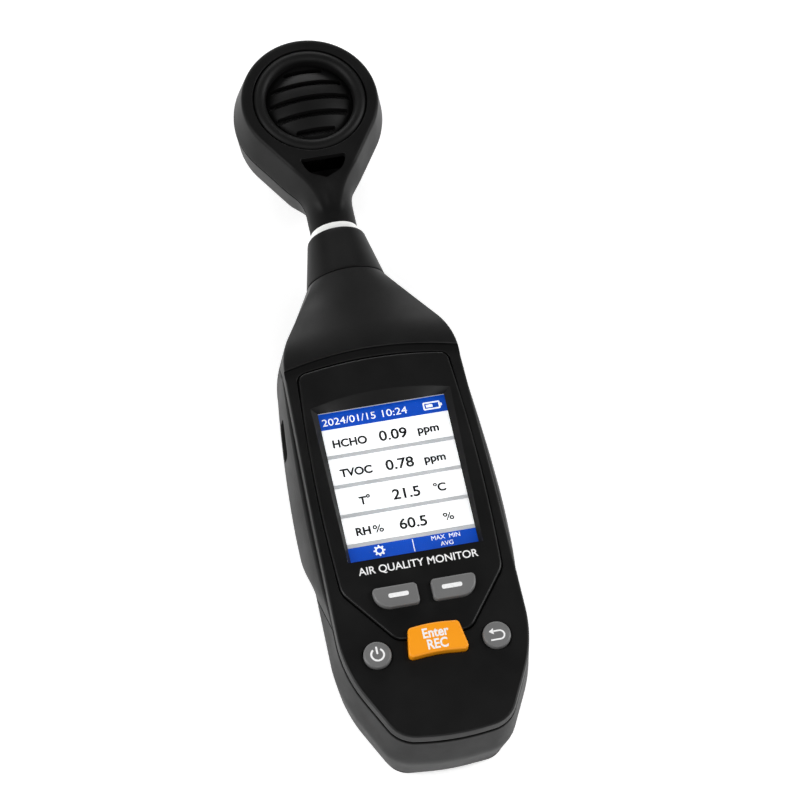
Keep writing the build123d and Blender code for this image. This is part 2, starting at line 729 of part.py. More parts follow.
with BuildPart() as usb_socket:
    with BuildSketch(Plane.YZ.offset(-22.4)):
        with Locations((PORT_Y, BOARD_TOP_Z - BOARD_THICKNESS - 1.5)):
            RectangleRounded(7.8, 3.0, 0.8)
            RectangleRounded(7.0, 2.2, 0.5, mode=Mode.SUBTRACT)
    extrude(amount=5.5)
    with BuildSketch(Plane.YZ.offset(-17.4)):
        with Locations((PORT_Y, BOARD_TOP_Z - BOARD_THICKNESS - 1.5)):
            Rectangle(7.4, 2.6)
    extrude(amount=0.5)
    with BuildSketch(Plane.YZ.offset(-21.6)):
        with Locations((PORT_Y, BOARD_TOP_Z - BOARD_THICKNESS - 1.3)):
            Rectangle(4.4, 0.6)
    extrude(amount=4.4)
finish(usb_socket.part, "usb_socket")

with BuildPart() as buzzer:
    with BuildSketch(Plane.XY.offset(BOARD_TOP_Z - BOARD_THICKNESS)):
        with Locations((0, BUZZER_Y)):
            Circle(4.5)
    extrude(amount=-3.4)
    with BuildSketch(Plane.XY.offset(BOARD_TOP_Z - BOARD_THICKNESS - 3.4)):
        with Locations((0, BUZZER_Y)):
            Circle(0.9)
    extrude(amount=1.5, mode=Mode.SUBTRACT)
finish(buzzer.part, "buzzer")

# ---- socket in the body, and the plug of the sensor module ------------------------------------
socket_radius = SEAM_RADIUS - WALL - 0.05
with BuildPart() as body_socket:
    with BuildSketch(across(SOCKET_Y)):
        with Locations((0, AXIS_Z)):
            Circle(socket_radius)
    extrude(amount=-(SEAM_Y - 0.2 - SOCKET_Y))
    with BuildSketch(across(SOCKET_Y + 2)):
        with Locations((0, AXIS_Z)):
            Circle(PLUG_RADIUS + PLUG_CLEARANCE)
    extrude(amount=-(SEAM_Y - SOCKET_Y), mode=Mode.SUBTRACT)
    with BuildSketch(across(SOCKET_Y + 1)):
        with Locations((0, AXIS_Z)):
            with PolarLocations(PIN_CIRCLE, PIN_COUNT):
                Circle(0.5)
    extrude(amount=-PIN_LENGTH)
finish(body_socket.part, "body_socket")

with BuildPart() as sensor_plug:
    with BuildSketch(across(PLUG_START_Y)):
        with Locations((0, AXIS_Z)):
            Circle(PLUG_RADIUS)
    extrude(amount=-(PLUG_END_Y - PLUG_START_Y))
    chamfer(sensor_plug.edges().group_by(Axis.Y)[0], 0.5)
    with BuildSketch(across(PLUG_START_Y)):
        with Locations((0, AXIS_Z)):
            with PolarLocations(PIN_CIRCLE, PIN_COUNT):
                Circle(0.7)
    extrude(amount=-7, mode=Mode.SUBTRACT)
finish(sensor_plug.part, "sensor_plug")

neck_axis = Axis((0, 0, AXIS_Z), (0, 1, 0))
collar_start_y = SEAM_Y + SEAM_GAP
ring_start_y, ring_end_y = RING_Y
with BuildPart() as collar:
    with BuildSketch(Plane.XY.offset(AXIS_Z)) as profile:
        with BuildLine():
            Polyline(
                (PLUG_RADIUS, collar_start_y), (SEAM_RADIUS, collar_start_y),
                (COLLAR_TOP_RADIUS, ring_start_y), (TUBE_RADIUS, ring_start_y),
                (TUBE_RADIUS, PLUG_END_Y), (PLUG_RADIUS, PLUG_END_Y), (PLUG_RADIUS, collar_start_y),
            )
        make_face()
        upper = profile.vertices().group_by(Axis.Y)[-1]
        fillet(upper.sort_by(Axis.X)[-1], COLLAR_ROUND)
    revolve(axis=neck_axis)
finish(collar.part, "collar")

with BuildPart() as neck_ring:
    with BuildSketch(across(ring_start_y)):
        with Locations((0, AXIS_Z)):
            Circle(RING_RADIUS)
            Circle(TUBE_RADIUS, mode=Mode.SUBTRACT)
    extrude(amount=-(ring_end_y - ring_start_y))
finish(neck_ring.part, "neck_ring")

with BuildPart() as neck_tube:
    with BuildSketch(across(PLUG_END_Y)):
        with Locations((0, AXIS_Z)):
            Circle(TUBE_RADIUS)
            Circle(TUBE_RADIUS - 1.2, mode=Mode.SUBTRACT)
    extrude(amount=-(TUBE_END_Y - PLUG_END_Y))
finish(neck_tube.part, "neck_tube")


# ---- sensor head ---------------------------------------------------------------------------
def head_solid(inset):
    """Teardrop head whose flanks slope back to its widest plane, front and rear alike."""
    slope = math.radians(HEAD_SLOPE)
    tangent = (HEAD_RADIUS * math.cos(slope), HEAD_Y - HEAD_RADIUS * math.sin(slope))
    low_y = HEAD_ROOT_Y - 8
    low_x = tangent[0] - (tangent[1] - low_y) * math.tan(slope)
    with BuildPart() as form:
        with BuildSketch(Plane.XY.offset(AXIS_Z)) as plan:
            with BuildLine():
                ThreePointArc(tangent, (0, HEAD_Y + HEAD_RADIUS), (-tangent[0], tangent[1]))
                Polyline((-tangent[0], tangent[1]), (-low_x, low_y), (low_x, low_y), tangent)
            make_face()
            if inset:
                offset(amount=-inset, mode=Mode.REPLACE)
        extrude(plan.sketch, amount=HEAD_HALF_DEPTH - inset, taper=HEAD_TAPER)
        extrude(plan.sketch, amount=HEAD_HALF_DEPTH - inset, dir=(0, 0, -1), taper=HEAD_TAPER)
        split(bisect_by=across(HEAD_ROOT_Y + inset * 1.5), keep=Keep.BOTTOM)
    return form.part


def neck_solid():
    """Loft from the round neck to the foot of the teardrop head."""
    slope = math.radians(HEAD_SLOPE)
    mid_x = (HEAD_RADIUS - (HEAD_Y - HEAD_ROOT_Y) * math.sin(slope)) / math.cos(slope)
    top_x = mid_x - HEAD_HALF_DEPTH * math.tan(math.radians(HEAD_TAPER)) / math.cos(slope)
    round_top = NECK_RADIUS * math.tan(math.pi / 6)
    round_mid = NECK_RADIUS * 2 / math.sqrt(3)
    stations = [
        (ring_end_y, round_top, round_mid, NECK_RADIUS, NECK_RADIUS * 0.97),
        (ring_end_y + 3.5, round_top, round_mid, NECK_RADIUS + 0.1, NECK_RADIUS * 0.95),
        (ring_end_y + 6.5, 4.1, 7.9, 7.6, 4.4),
        (ring_end_y + 9.5, 4.3, 8.5, 9.6, 2.6),
        (HEAD_ROOT_Y, top_x, mid_x, HEAD_HALF_DEPTH, 0.9),
    ]
    with BuildPart() as form:
        for y, top, middle, depth, radius in stations:
            levels = (AXIS_Z + depth, AXIS_Z, AXIS_Z - depth)
            add(hexagon_section(y, (top, middle, top), levels, [radius] * 3))
        loft(ruled=True)
    return form.part


head_form = head_solid(0) + neck_solid()
head_space = head_solid(WALL)
with BuildPart() as head_shell:
    add(head_form)
    add(head_space, mode=Mode.SUBTRACT)
    with BuildSketch(across(ring_end_y)):
        with Locations((0, AXIS_Z)):
            Circle(TUBE_RADIUS)
    extrude(amount=-16, mode=Mode.SUBTRACT)

above_axis = cut_box((-40, 40, AXIS_Z + HEAD_SEAM_GAP / 2), (40, 120, 40))
below_axis = cut_box((-40, 40, -10), (40, 120, AXIS_Z - HEAD_SEAM_GAP / 2))

with BuildPart() as head_front:
    add(head_shell.part)
    add(above_axis, mode=Mode.INTERSECT)
    with BuildSketch(Plane.XY.offset(AXIS_Z + HEAD_SEAM_GAP / 2)):
        with Locations((0, HEAD_Y)):
            with PolarLocations(HEAD_SCREW_RADIUS, 3, start_angle=90):
                Circle(1.9)
    extrude(amount=6)
    with BuildSketch(Plane.XY.offset(AXIS_Z)):
        with Locations((0, HEAD_Y)):
            with PolarLocations(HEAD_SCREW_RADIUS, 3, start_angle=90):
                Circle(HEAD_SCREW_SIZE + 0.01)
    extrude(amount=5, mode=Mode.SUBTRACT)
    with BuildSketch(Plane.XY.offset(AXIS_Z + HEAD_HALF_DEPTH - WALL - 1)):
        with Locations((0, HEAD_Y)):
            Circle(GRILLE_RADIUS + 0.3)
    extrude(amount=5, mode=Mode.SUBTRACT)
    # intake below the grille: flat top and curved foot
    intake_low, intake_high = INTAKE_Y
    with BuildSketch(Plane.XY.offset(AXIS_Z + 4)):
        with BuildLine():
            Line((-INTAKE_HALF_WIDTH, intake_high), (INTAKE_HALF_WIDTH, intake_high))
            ThreePointArc(
                (INTAKE_HALF_WIDTH, intake_high), (0, intake_low), (-INTAKE_HALF_WIDTH, intake_high)
            )
        make_face()
    extrude(amount=20, mode=Mode.SUBTRACT)
finish(head_front.part, "head_front")

with BuildPart() as head_rear:
    add(head_shell.part)
    add(below_axis, mode=Mode.INTERSECT)
    head_floor_z = AXIS_Z - HEAD_HALF_DEPTH + WALL
    with BuildSketch(Plane.XY.offset(head_floor_z - 0.5)):
        with Locations((0, HEAD_Y)):
            with PolarLocations(HEAD_SCREW_RADIUS, 3, start_angle=90):
                Circle(2.1)
            with Locations((-9, 4), (9, 4)):
                Circle(1.5)
    extrude(amount=SENSOR_BOARD_Z - head_floor_z + 0.5)
    with BuildSketch(Plane.XY):
        with Locations((0, HEAD_Y)):
            with PolarLocations(HEAD_SCREW_RADIUS, 3, start_angle=90):
                Circle(HEAD_SCREW_SIZE + 0.1)
    extrude(amount=AXIS_Z, mode=Mode.SUBTRACT)
    with BuildSketch(Plane.XY):
        with Locations((0, HEAD_Y)):
            with PolarLocations(HEAD_SCREW_RADIUS, 3, start_angle=90):
                Circle(1.8)
    extrude(amount=head_floor_z - 0.4, mode=Mode.SUBTRACT)
    for index, half_length in enumerate(SLOT_HALF_LENGTHS):
        with BuildSketch(Plane.XY):
            with Locations((0, HEAD_Y + (index - 2) * SLOT_PITCH)):
                RectangleRounded(2 * half_length * 0.8, SLOT_HEIGHT, 0.8)
        extrude(amount=head_floor_z + 1, mode=Mode.SUBTRACT)
finish(head_rear.part, "head_rear")

screw_seat_z = head_floor_z - 0.4
with BuildPart() as head_screws:
    with BuildSketch(Plane.XY.offset(screw_seat_z)):
        with Locations((0, HEAD_Y)):
            with PolarLocations(HEAD_SCREW_RADIUS, 3, start_angle=90):
                Circle(HEAD_SCREW_SIZE)
    extrude(amount=AXIS_Z + 4 - head_floor_z)
    with BuildSketch(Plane.XY.offset(screw_seat_z)):
        with Locations((0, HEAD_Y)):
            with PolarLocations(HEAD_SCREW_RADIUS, 3, start_angle=90):
                Circle(1.65)
    extrude(amount=-1.2)
finish(head_screws.part, "head_screws")

grille_axis = Axis((0, HEAD_Y, 0), (0, 0, 1))
dome_centre_z = DOME_TOP_Z - DOME_RADIUS


def dome_z(radius, sphere_radius):
    """Height of the dome's sphere at a distance from the head's centre."""
    return dome_centre_z + math.sqrt(sphere_radius ** 2 - radius ** 2)


with BuildPart() as sensor_grille:
    inner_sphere = DOME_RADIUS - DOME_WALL
    wall_z = AXIS_Z + HEAD_HALF_DEPTH - WALL
    flange_z = wall_z - 0.1
    bead_middle = ((GRILLE_RADIUS + DOME_EDGE) / 2, BEAD_Z + BEAD_RISE)
    outer_edge = (DOME_EDGE, dome_z(DOME_EDGE, DOME_RADIUS))
    inner_edge = (DOME_EDGE - 0.8, dome_z(DOME_EDGE - 0.8, inner_sphere))
    outer_middle = (DOME_EDGE / 2, dome_z(DOME_EDGE / 2, DOME_RADIUS))
    inner_middle = (DOME_EDGE / 2, dome_z(DOME_EDGE / 2, inner_sphere))
    with BuildSketch(Plane.XZ.offset(-HEAD_Y)):
        with BuildLine():
            Polyline(
                inner_edge, (GRILLE_FLANGE_RADIUS, flange_z - 2.1), (GRILLE_FLANGE_RADIUS, flange_z),
                (GRILLE_RADIUS, flange_z), (GRILLE_RADIUS, BEAD_Z),
            )
            ThreePointArc((GRILLE_RADIUS, BEAD_Z), bead_middle, (DOME_EDGE, BEAD_Z))
            Line((DOME_EDGE, BEAD_Z), outer_edge)
            ThreePointArc(outer_edge, outer_middle, (0, DOME_TOP_Z))
            Line((0, DOME_TOP_Z), (0, DOME_TOP_Z - DOME_WALL))
            ThreePointArc((0, DOME_TOP_Z - DOME_WALL), inner_middle, inner_edge)
        make_face()
    revolve(axis=grille_axis)
    for index, half_length in enumerate(SLOT_HALF_LENGTHS):
        with BuildSketch(Plane.XY.offset(18)):
            with Locations((0, HEAD_Y + (index - 2) * SLOT_PITCH)):
                RectangleRounded(2 * half_length, SLOT_HEIGHT, 0.5)
        extrude(amount=14, mode=Mode.SUBTRACT)
finish(sensor_grille.part, "sensor_grille")

with BuildPart() as dust_screen:
    with BuildSketch(Plane.XY.offset(DUST_SCREEN_Z)):
        with Locations((0, HEAD_Y)):
            Circle(11.2)
    extrude(amount=0.5)
finish(dust_screen.part, "dust_screen")

with BuildPart() as sensor_board:
    with BuildSketch(Plane.XY.offset(SENSOR_BOARD_Z)):
        with Locations((0, HEAD_Y)):
            Circle(SENSOR_BOARD_RADIUS)
        with Locations((0, HEAD_Y - SENSOR_BOARD_RADIUS)):
            Rectangle(9, 14)
    extrude(amount=SENSOR_BOARD_THICKNESS)
finish(sensor_board.part, "sensor_board")

board_front_z = SENSOR_BOARD_Z + SENSOR_BOARD_THICKNESS

with BuildPart() as formaldehyde_sensor:
    with BuildSketch(Plane.XY.offset(board_front_z)):
        with Locations((0, HEAD_Y + 2)):
            Circle(GAS_SENSOR_RADIUS)
    extrude(amount=GAS_SENSOR_HEIGHT)
    fillet(formaldehyde_sensor.edges().group_by(Axis.Z)[-1], 0.5)
    with BuildSketch(Plane.XY.offset(board_front_z + GAS_SENSOR_HEIGHT)):
        with Locations((0, HEAD_Y + 2)):
            Circle(GAS_SENSOR_RADIUS / 2)
    extrude(amount=-0.4, mode=Mode.SUBTRACT)
finish(formaldehyde_sensor.part, "formaldehyde_sensor")

with BuildPart() as voc_sensor:
    with BuildSketch(Plane.XY.offset(board_front_z)):
        with Locations((0, HEAD_Y - 10)):
            Rectangle(5, 5)
    extrude(amount=1.6)
finish(voc_sensor.part, "voc_sensor")

with BuildPart() as humidity_sensor:
    with BuildSketch(Plane.XY.offset(board_front_z)):
        with Locations((0, HEAD_Y - 18)):
            Rectangle(3, 3)
    extrude(amount=1)
finish(humidity_sensor.part, "humidity_sensor")
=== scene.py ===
import math

import bmesh
import bpy
from mathutils import Euler, Matrix, Vector


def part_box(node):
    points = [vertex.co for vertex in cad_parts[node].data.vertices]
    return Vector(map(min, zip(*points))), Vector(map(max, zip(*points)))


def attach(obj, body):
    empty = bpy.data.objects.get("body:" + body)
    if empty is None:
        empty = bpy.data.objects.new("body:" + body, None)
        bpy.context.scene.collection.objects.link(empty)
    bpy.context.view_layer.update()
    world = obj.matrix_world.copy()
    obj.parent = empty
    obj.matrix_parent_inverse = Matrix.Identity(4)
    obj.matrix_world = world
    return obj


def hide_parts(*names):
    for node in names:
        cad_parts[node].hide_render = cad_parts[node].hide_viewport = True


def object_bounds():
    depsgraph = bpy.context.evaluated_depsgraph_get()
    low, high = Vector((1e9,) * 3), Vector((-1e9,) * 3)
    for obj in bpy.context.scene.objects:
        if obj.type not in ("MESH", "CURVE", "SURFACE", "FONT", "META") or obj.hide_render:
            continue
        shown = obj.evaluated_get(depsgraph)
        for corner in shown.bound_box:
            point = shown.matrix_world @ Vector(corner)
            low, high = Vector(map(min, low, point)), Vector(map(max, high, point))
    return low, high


# Looks of the handheld air quality monitor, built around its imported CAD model.
# Everything is in metres in the model's frame: +Z out of the display, +Y to the sensor head.

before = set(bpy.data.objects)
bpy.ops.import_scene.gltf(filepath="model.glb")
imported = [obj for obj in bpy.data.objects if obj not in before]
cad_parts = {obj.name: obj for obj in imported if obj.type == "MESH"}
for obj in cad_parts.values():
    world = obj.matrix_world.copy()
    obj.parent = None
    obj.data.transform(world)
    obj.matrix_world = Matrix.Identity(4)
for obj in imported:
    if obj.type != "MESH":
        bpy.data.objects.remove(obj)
cad_low, cad_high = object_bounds()
MM = 0.001

# ---- camera, floor and light ----
CAMERA_PLACE = Vector((-0.18368, -0.54832, 1.21844))
CAMERA_ANGLES = [math.radians(angle) for angle in (25.4283, -3.5412, -11.9158)]
LENS_LENGTH = 219.6    # millimetres on a 36 mm wide sensor
FLOOR_SIZE = 4.0
FLOOR_GAP = 0.05 * MM    # below the model
FLOOR_GLOW = 0.55
LIGHT_TARGET = Vector((0, 0, 0.015))
SKY_STRENGTH = 0.1
SOFTBOXES = {    # place, width, height, watts
    "left_softbox": ((-1.15, -0.1, 0.62), 0.5, 1.3, 12.5),
    "right_softbox": ((1.15, 0.0, 0.62), 0.5, 1.3, 12.5),
    "front_softbox": ((-0.1, -1.15, 0.95), 1.3, 0.5, 6.5),
    "top_softbox": ((0.0, 1.3, 0.4), 1.2, 0.3, 8),
}


def add_object(name, data):
    """New object for some data, put into the scene."""
    made = bpy.data.objects.new(name, data)
    bpy.context.scene.collection.objects.link(made)
    return made


def make_camera():
    data = bpy.data.cameras.new("camera")
    data.lens = LENS_LENGTH
    data.sensor_width = 36
    data.clip_start = 0.05
    camera = add_object("camera", data)
    camera.location = CAMERA_PLACE
    camera.rotation_euler = Euler(CAMERA_ANGLES)
    bpy.context.scene.camera = camera


def make_light():
    """Faint white sky and soft rectangular lights that face the object."""
    world = bpy.data.worlds.new("studio")
    world.use_nodes = True
    background = world.node_tree.nodes["Background"]
    background.inputs["Color"].default_value = (1, 1, 1, 1)
    background.inputs["Strength"].default_value = SKY_STRENGTH
    bpy.context.scene.world = world
    for name, (place, width, height, watts) in SOFTBOXES.items():
        data = bpy.data.lights.new(name, "AREA")
        data.shape = "RECTANGLE"
        data.size = width
        data.size_y = height
        data.energy = watts
        light = add_object(name, data)
        light.location = place
        light.rotation_euler = (LIGHT_TARGET - Vector(place)).to_track_quat("-Z", "Y").to_euler()


# ---- materials ----
class Shader:
    """Short way to build one node material around its Principled shader."""

    def __init__(self, name):
        self.material = bpy.data.materials.new(name)
        self.material.use_nodes = True
        self.tree = self.material.node_tree
        self.surface = self.tree.nodes["Principled BSDF"]
        self.place = self.node("ShaderNodeTexCoord").outputs["Object"]

    def node(self, kind, values=None, **settings):
        """New node with some settings and with values on its inputs."""
        made = self.tree.nodes.new(kind)
        for key, value in settings.items():
            setattr(made, key, value)
        for key, value in (values or {}).items():
            made.inputs[key].default_value = value
        return made

    def link(self, output, target):
        self.tree.links.new(output, target)

    def set(self, **values):
        """Uniform values, set on the shader's own sockets."""
        for key, value in values.items():
            self.surface.inputs[key.replace("_", " ")].default_value = value

    def noise(self, size, detail=3.0, roughness=0.5, stretch=(1, 1, 1)):
        """Noise whose features are about size millimetres across."""
        mapping = self.node("ShaderNodeMapping", {"Scale": stretch})
        self.link(self.place, mapping.inputs["Vector"])
        values = {"Scale": 1 / (size * MM), "Detail": detail, "Roughness": roughness}
        noise = self.node("ShaderNodeTexNoise", values)
        self.link(mapping.outputs["Vector"], noise.inputs["Vector"])
        return noise.outputs["Fac"]

    def pattern(self, kind, size, values=None, **settings):
        """Node of another texture whose features are about size millimetres across."""
        made = self.node(kind, values, **settings)
        made.inputs["Scale"].default_value = 1 / (size * MM)
        self.link(self.place, made.inputs["Vector"])
        return made

    def ranged(self, value, low, high, from_low=0.3, from_high=0.7):
        """An output stretched so that from_low and from_high become low and high."""
        values = {"From Min": from_low, "From Max": from_high, "To Min": low, "To Max": high}
        ranged = self.node("ShaderNodeMapRange", values)
        self.link(value, ranged.inputs["Value"])
        return ranged.outputs["Result"]

    def tint(self, colour, other, share):
        """Base colour between two colours; share is a 0 to 1 output."""
        mix = self.node("ShaderNodeMix", {"A": (*colour, 1), "B": (*other, 1)}, data_type="RGBA")
        self.link(share, mix.inputs["Factor"])
        self.link(mix.outputs["Result"], self.surface.inputs["Base Color"])
        return mix.outputs["Result"]

    def blotches(self, *noise):
        """Soft patches between 0 and 1."""
        return self.ranged(self.noise(*noise), 0, 1)

    def rough_from(self, output):
        self.link(output, self.surface.inputs["Roughness"])

    def rough(self, low, high, *noise):
        """Roughness that wanders between two values with some noise."""
        self.rough_from(self.ranged(self.noise(*noise), low, high))

    def bump(self, *heights):
        """One bump per (height output, depth in millimetres), chained."""
        normal = None
        for height, depth in heights:
            bump = self.node("ShaderNodeBump", {"Distance": depth * MM})
            self.link(height, bump.inputs["Height"])
            if normal:
                self.link(normal, bump.inputs["Normal"])
            normal = bump.outputs["Normal"]
        self.link(normal, self.surface.inputs["Normal"])


def srgb(*levels):
    """Linear colour from sRGB levels between 0 and 255."""
    shares = [level / 255 for level in levels]
    return tuple(s / 12.92 if s <= 0.04045 else ((s + 0.055) / 1.055) ** 2.4 for s in shares)


def grey(level):
    return srgb(level, level, level)


def moulded(name, colour, roughness, grain=0.28, depth=0.012, mottle=0.25, gloss=0.35):
    """Moulded plastic: fine spark-eroded grain, slight tone and gloss variation, faint dust."""
    shader = Shader(name)
    lighter = tuple(min(1, level * (1 + mottle) + 0.0005) for level in colour)
    shader.tint(colour, lighter, shader.blotches(9, 4))
    shader.rough(roughness - 0.05, roughness + 0.06, 14, 5, 0.6)
    shader.bump((shader.noise(grain, 2), depth), (shader.noise(grain * 6, 2), depth * 0.6))
    shader.set(Specular_IOR_Level=gloss)
    return shader.material


def rubber(name, colour):
    """Soft-touch rubber: pebbled grain and a faint bloom."""
    shader = Shader(name)
    lighter = tuple(level * 1.5 + 0.002 for level in colour)
    shader.tint(colour, lighter, shader.blotches(6, 5, 0.65))
    shader.rough(0.52, 0.64, 10, 4)
    cells = shader.pattern("ShaderNodeTexVoronoi", 0.45, feature="SMOOTH_F1")
    shader.bump((cells.outputs["Distance"], 0.03), (shader.noise(0.25, 2), 0.008))
    shader.set(Sheen_Weight=0.05, Sheen_Roughness=0.5, Specular_IOR_Level=0.3)
    return shader.material


def metal(name, colour, roughness, stretch):
    """Machined or drawn metal with fine lines along its stretched direction."""
    shader = Shader(name)
    darker = tuple(level * 0.75 for level in colour)
    shader.tint(darker, colour, shader.blotches(2.5, 4))
    lines = shader.noise(0.35, 3, 0.6, stretch)
    shader.rough_from(shader.ranged(lines, roughness - 0.08, roughness + 0.12))
    shader.bump((lines, 0.006))
    shader.set(Metallic=1.0)
    return shader.material


def lit_ink(name, colour, glow):
    """Backlit display colour with a faint pixel grid and uneven backlight."""
    shader = Shader(name)
    dimmer = tuple(level * 0.93 for level in colour)
    shade = shader.tint(dimmer, colour, shader.blotches(12, 2))
    shader.link(shade, shader.surface.inputs["Emission Color"])
    shader.rough(0.3, 0.4, 3, 3)
    grid = shader.pattern("ShaderNodeTexWave", 0.6, bands_direction="X")
    shader.bump((grid.outputs["Fac"], 0.001))
    shader.set(Emission_Strength=glow)
    return shader.material


def print_ink(name, colour):
    """Pad-printed ink: slightly uneven cover over the plastic's grain."""
    shader = Shader(name)
    thinner = tuple(level * 0.82 for level in colour)
    shader.tint(thinner, colour, shader.ranged(shader.noise(0.8, 4, 0.7), 0, 1, 0.25, 0.55))
    shader.rough(0.42, 0.55, 2, 3)
    shader.bump((shader.noise(0.3, 2), 0.006))
    return shader.material


def clear_lens(name):
    """Clear display window, faintly tinted, with very light smudges."""
    shader = Shader(name)
    shader.tint((0.93, 0.95, 0.96), (1, 1, 1), shader.blotches(15, 3))
    shader.rough_from(shader.ranged(shader.noise(8, 5, 0.65), 0.0, 0.035, 0.45, 0.75))
    shader.set(Transmission_Weight=1.0, IOR=1.3)
    return shader.material


def circuit(name):
    """Solder mask with copper tracks showing through as slightly raised lines."""
    shader = Shader(name)
    bricks = shader.pattern("ShaderNodeTexBrick", 6, {"Mortar Size": 0.03})
    shader.tint(srgb(10, 78, 42), srgb(30, 120, 66), bricks.outputs["Fac"])
    shader.rough(0.28, 0.42, 4, 3)
    shader.bump((bricks.outputs["Fac"], 0.03))
    return shader.material


def fabric(name):
    """Woven dust cloth."""
    shader = Shader(name)
    weave = shader.pattern("ShaderNodeTexChecker", 0.5)
    shader.tint(grey(12), grey(34), weave.outputs["Fac"])
    shader.rough(0.8, 0.95, 1, 3)
    shader.bump((weave.outputs["Fac"], 0.05))
    shader.set(Sheen_Weight=0.2)
    return shader.material


STEEL = metal("screw_steel_turned", (0.56, 0.56, 0.57), 0.32, (1, 1, 12))
BRASS = metal("brass_turned", (0.75, 0.52, 0.22), 0.3, (1, 1, 12))
SOCKET = moulded("socket_plastic_black", srgb(20, 20, 22), 0.4)
DARK_BOARD = moulded("sensor_board_black_mask", grey(9), 0.5, grain=0.5)
SCREEN_WHITE = lit_ink("screen_white", (1, 1, 1), 0.75)
SCREEN_BLUE = lit_ink("screen_blue", srgb(0, 76, 196), 0.5)
SCREEN_BLACK = print_ink("screen_black", srgb(5, 5, 6))
PRINT_WHITE = print_ink("print_white", grey(252))
FINISHES = {    # material by slot
    "front_plastic": moulded("front_plastic_moulded", grey(9), 0.46, gloss=0.24),
    "rear_plastic": moulded("rear_plastic_moulded", grey(16), 0.5, depth=0.016, gloss=0.18),
    "grip_plastic": rubber("grip_rubber", grey(14)),
    "bezel_plastic": moulded("bezel_satin", grey(10), 0.4, depth=0.006, gloss=0.28),
    "head_plastic": moulded("head_satin", grey(19), 0.42, depth=0.008, gloss=0.09),
    "grille_plastic": moulded("grille_satin", grey(15), 0.5, depth=0.004, gloss=0.16),
    "ring_white": moulded("ring_white_plastic", srgb(248, 248, 246), 0.35, depth=0.006, mottle=0.02),
    "key_grey": moulded("key_grey_silicone", grey(110), 0.42, depth=0.01, mottle=0.08),
    "key_orange": moulded("key_orange_silicone", srgb(254, 158, 20), 0.42, depth=0.01, mottle=0.05),
    "lens": clear_lens("lens_clear"),
    "screen": lit_ink("screen_grey", srgb(196, 197, 199), 0.5),
    "white_plastic": moulded("white_moulding", srgb(215, 215, 210), 0.5, mottle=0.05),
    "silicone": moulded("pale_silicone", srgb(150, 156, 160), 0.55, mottle=0.08),
    "circuit_board": circuit("circuit_board_mask"),
    "battery_wrap": moulded("battery_shrink_wrap", srgb(38, 74, 140), 0.3, 1.2, 0.03),
    "sensor_plastic": moulded("sensor_body_plastic", srgb(225, 222, 205), 0.45, mottle=0.04),
    "sensor_can": metal("sensor_can_metal", (0.75, 0.75, 0.72), 0.3, (1, 1, 1)),
    "tube_steel": metal("tube_steel_drawn", (0.62, 0.62, 0.63), 0.28, (12, 0.4, 12)),
    "dust_cloth": fabric("dust_cloth_weave"),
    "screw_steel": STEEL, "socket_steel": STEEL, "brass": BRASS, "contact_metal": BRASS,
    "buzzer_plastic": SOCKET, "socket_plastic": SOCKET,
}


def finish_nodes():
    """Gives every carried-over CAD node the material that belongs to its slot."""
    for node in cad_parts.values():
        for place in node.material_slots:
            slot = place.material.name.split(".")[0]
            place.material = FINISHES[slot]
    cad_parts["sensor_board"].material_slots[0].material = DARK_BOARD


# ---- mesh helpers ----
# The forms below are written in millimetres and scaled when their mesh is made.
def path_with_rounds(corners, radii, step):
    """Straight runs joined by arcs: points about step apart and their unit normals to the left."""
    corners = [Vector(corner) for corner in corners]
    points, normals = [corners[0]], [left_of(corners[1] - corners[0])]
    for before, corner, after, radius in zip(corners, corners[1:], corners[2:], radii):
        into = (corner - before).normalized()
        out = (after - corner).normalized()
        turn = into.angle_signed(out)
        start = corner - into * radius * math.tan(abs(turn) / 2)
        bend = -math.copysign(1, turn)
        centre = start + left_of(into) * radius * bend
        straight = run(points[-1], start, step)
        points += straight
        normals += [left_of(into)] * len(straight)
        count = 2 * max(2, round(radius * abs(turn) / step / 2))
        for index in range(1, count + 1):
            normal = left_of(into)
            normal.rotate(Matrix.Rotation(-turn * index / count, 2))
            points.append(centre - normal * radius * bend)
            normals.append(normal)
    straight = run(points[-1], corners[-1], step)
    return points + straight, normals + [left_of(corners[-1] - corners[-2])] * len(straight)


def left_of(along):
    """Unit vector to the left of a direction in the plane."""
    return Vector((-along.y, along.x)).normalized()


def run(start, end, step):
    """Points after start along a straight run, ending at end."""
    count = max(1, round((end - start).length / step))
    return [start.lerp(end, index / count) for index in range(1, count + 1)]


def inset_corners(corners, inset):
    """Corners of a path moved to its left by inset, mitred."""
    corners = [Vector(corner) for corner in corners]
    moved = [corners[0] + left_of(corners[1] - corners[0]) * inset]
    for before, corner, after in zip(corners, corners[1:], corners[2:]):
        first, second = left_of(corner - before), left_of(after - corner)
        moved.append(corner + (first + second) * inset / (1 + first.dot(second)))
    return moved + [corners[-1] + left_of(corners[-1] - corners[-2]) * inset]


def smooth(value, low, high):
    """0 below low, 1 above high and an even curve between."""
    share = min(1, max(0, (value - low) / (high - low)))
    return share * share * (3 - 2 * share)


def at(line, place):
    """Point at a fractional index of a line of points."""
    place = min(max(place, 0), len(line) - 1)
    index = min(int(place), len(line) - 2)
    return line[index].lerp(line[index + 1], place - index)


def crossing(line, level, first):
    """Fractional index where the line comes down through a level, looking from index first."""
    for index in range(first, len(line) - 1):
        above, below = line[index].z, line[index + 1].z
        if above >= level > below:
            return index + (above - level) / (above - below)
    return len(line) - 1


POINT_WELD = 1e-3 * MM
SLIVER = 1e-4 * MM
CUT_WELD = 2e-4 * MM    # joins the doubled points that a cut leaves where edges meet


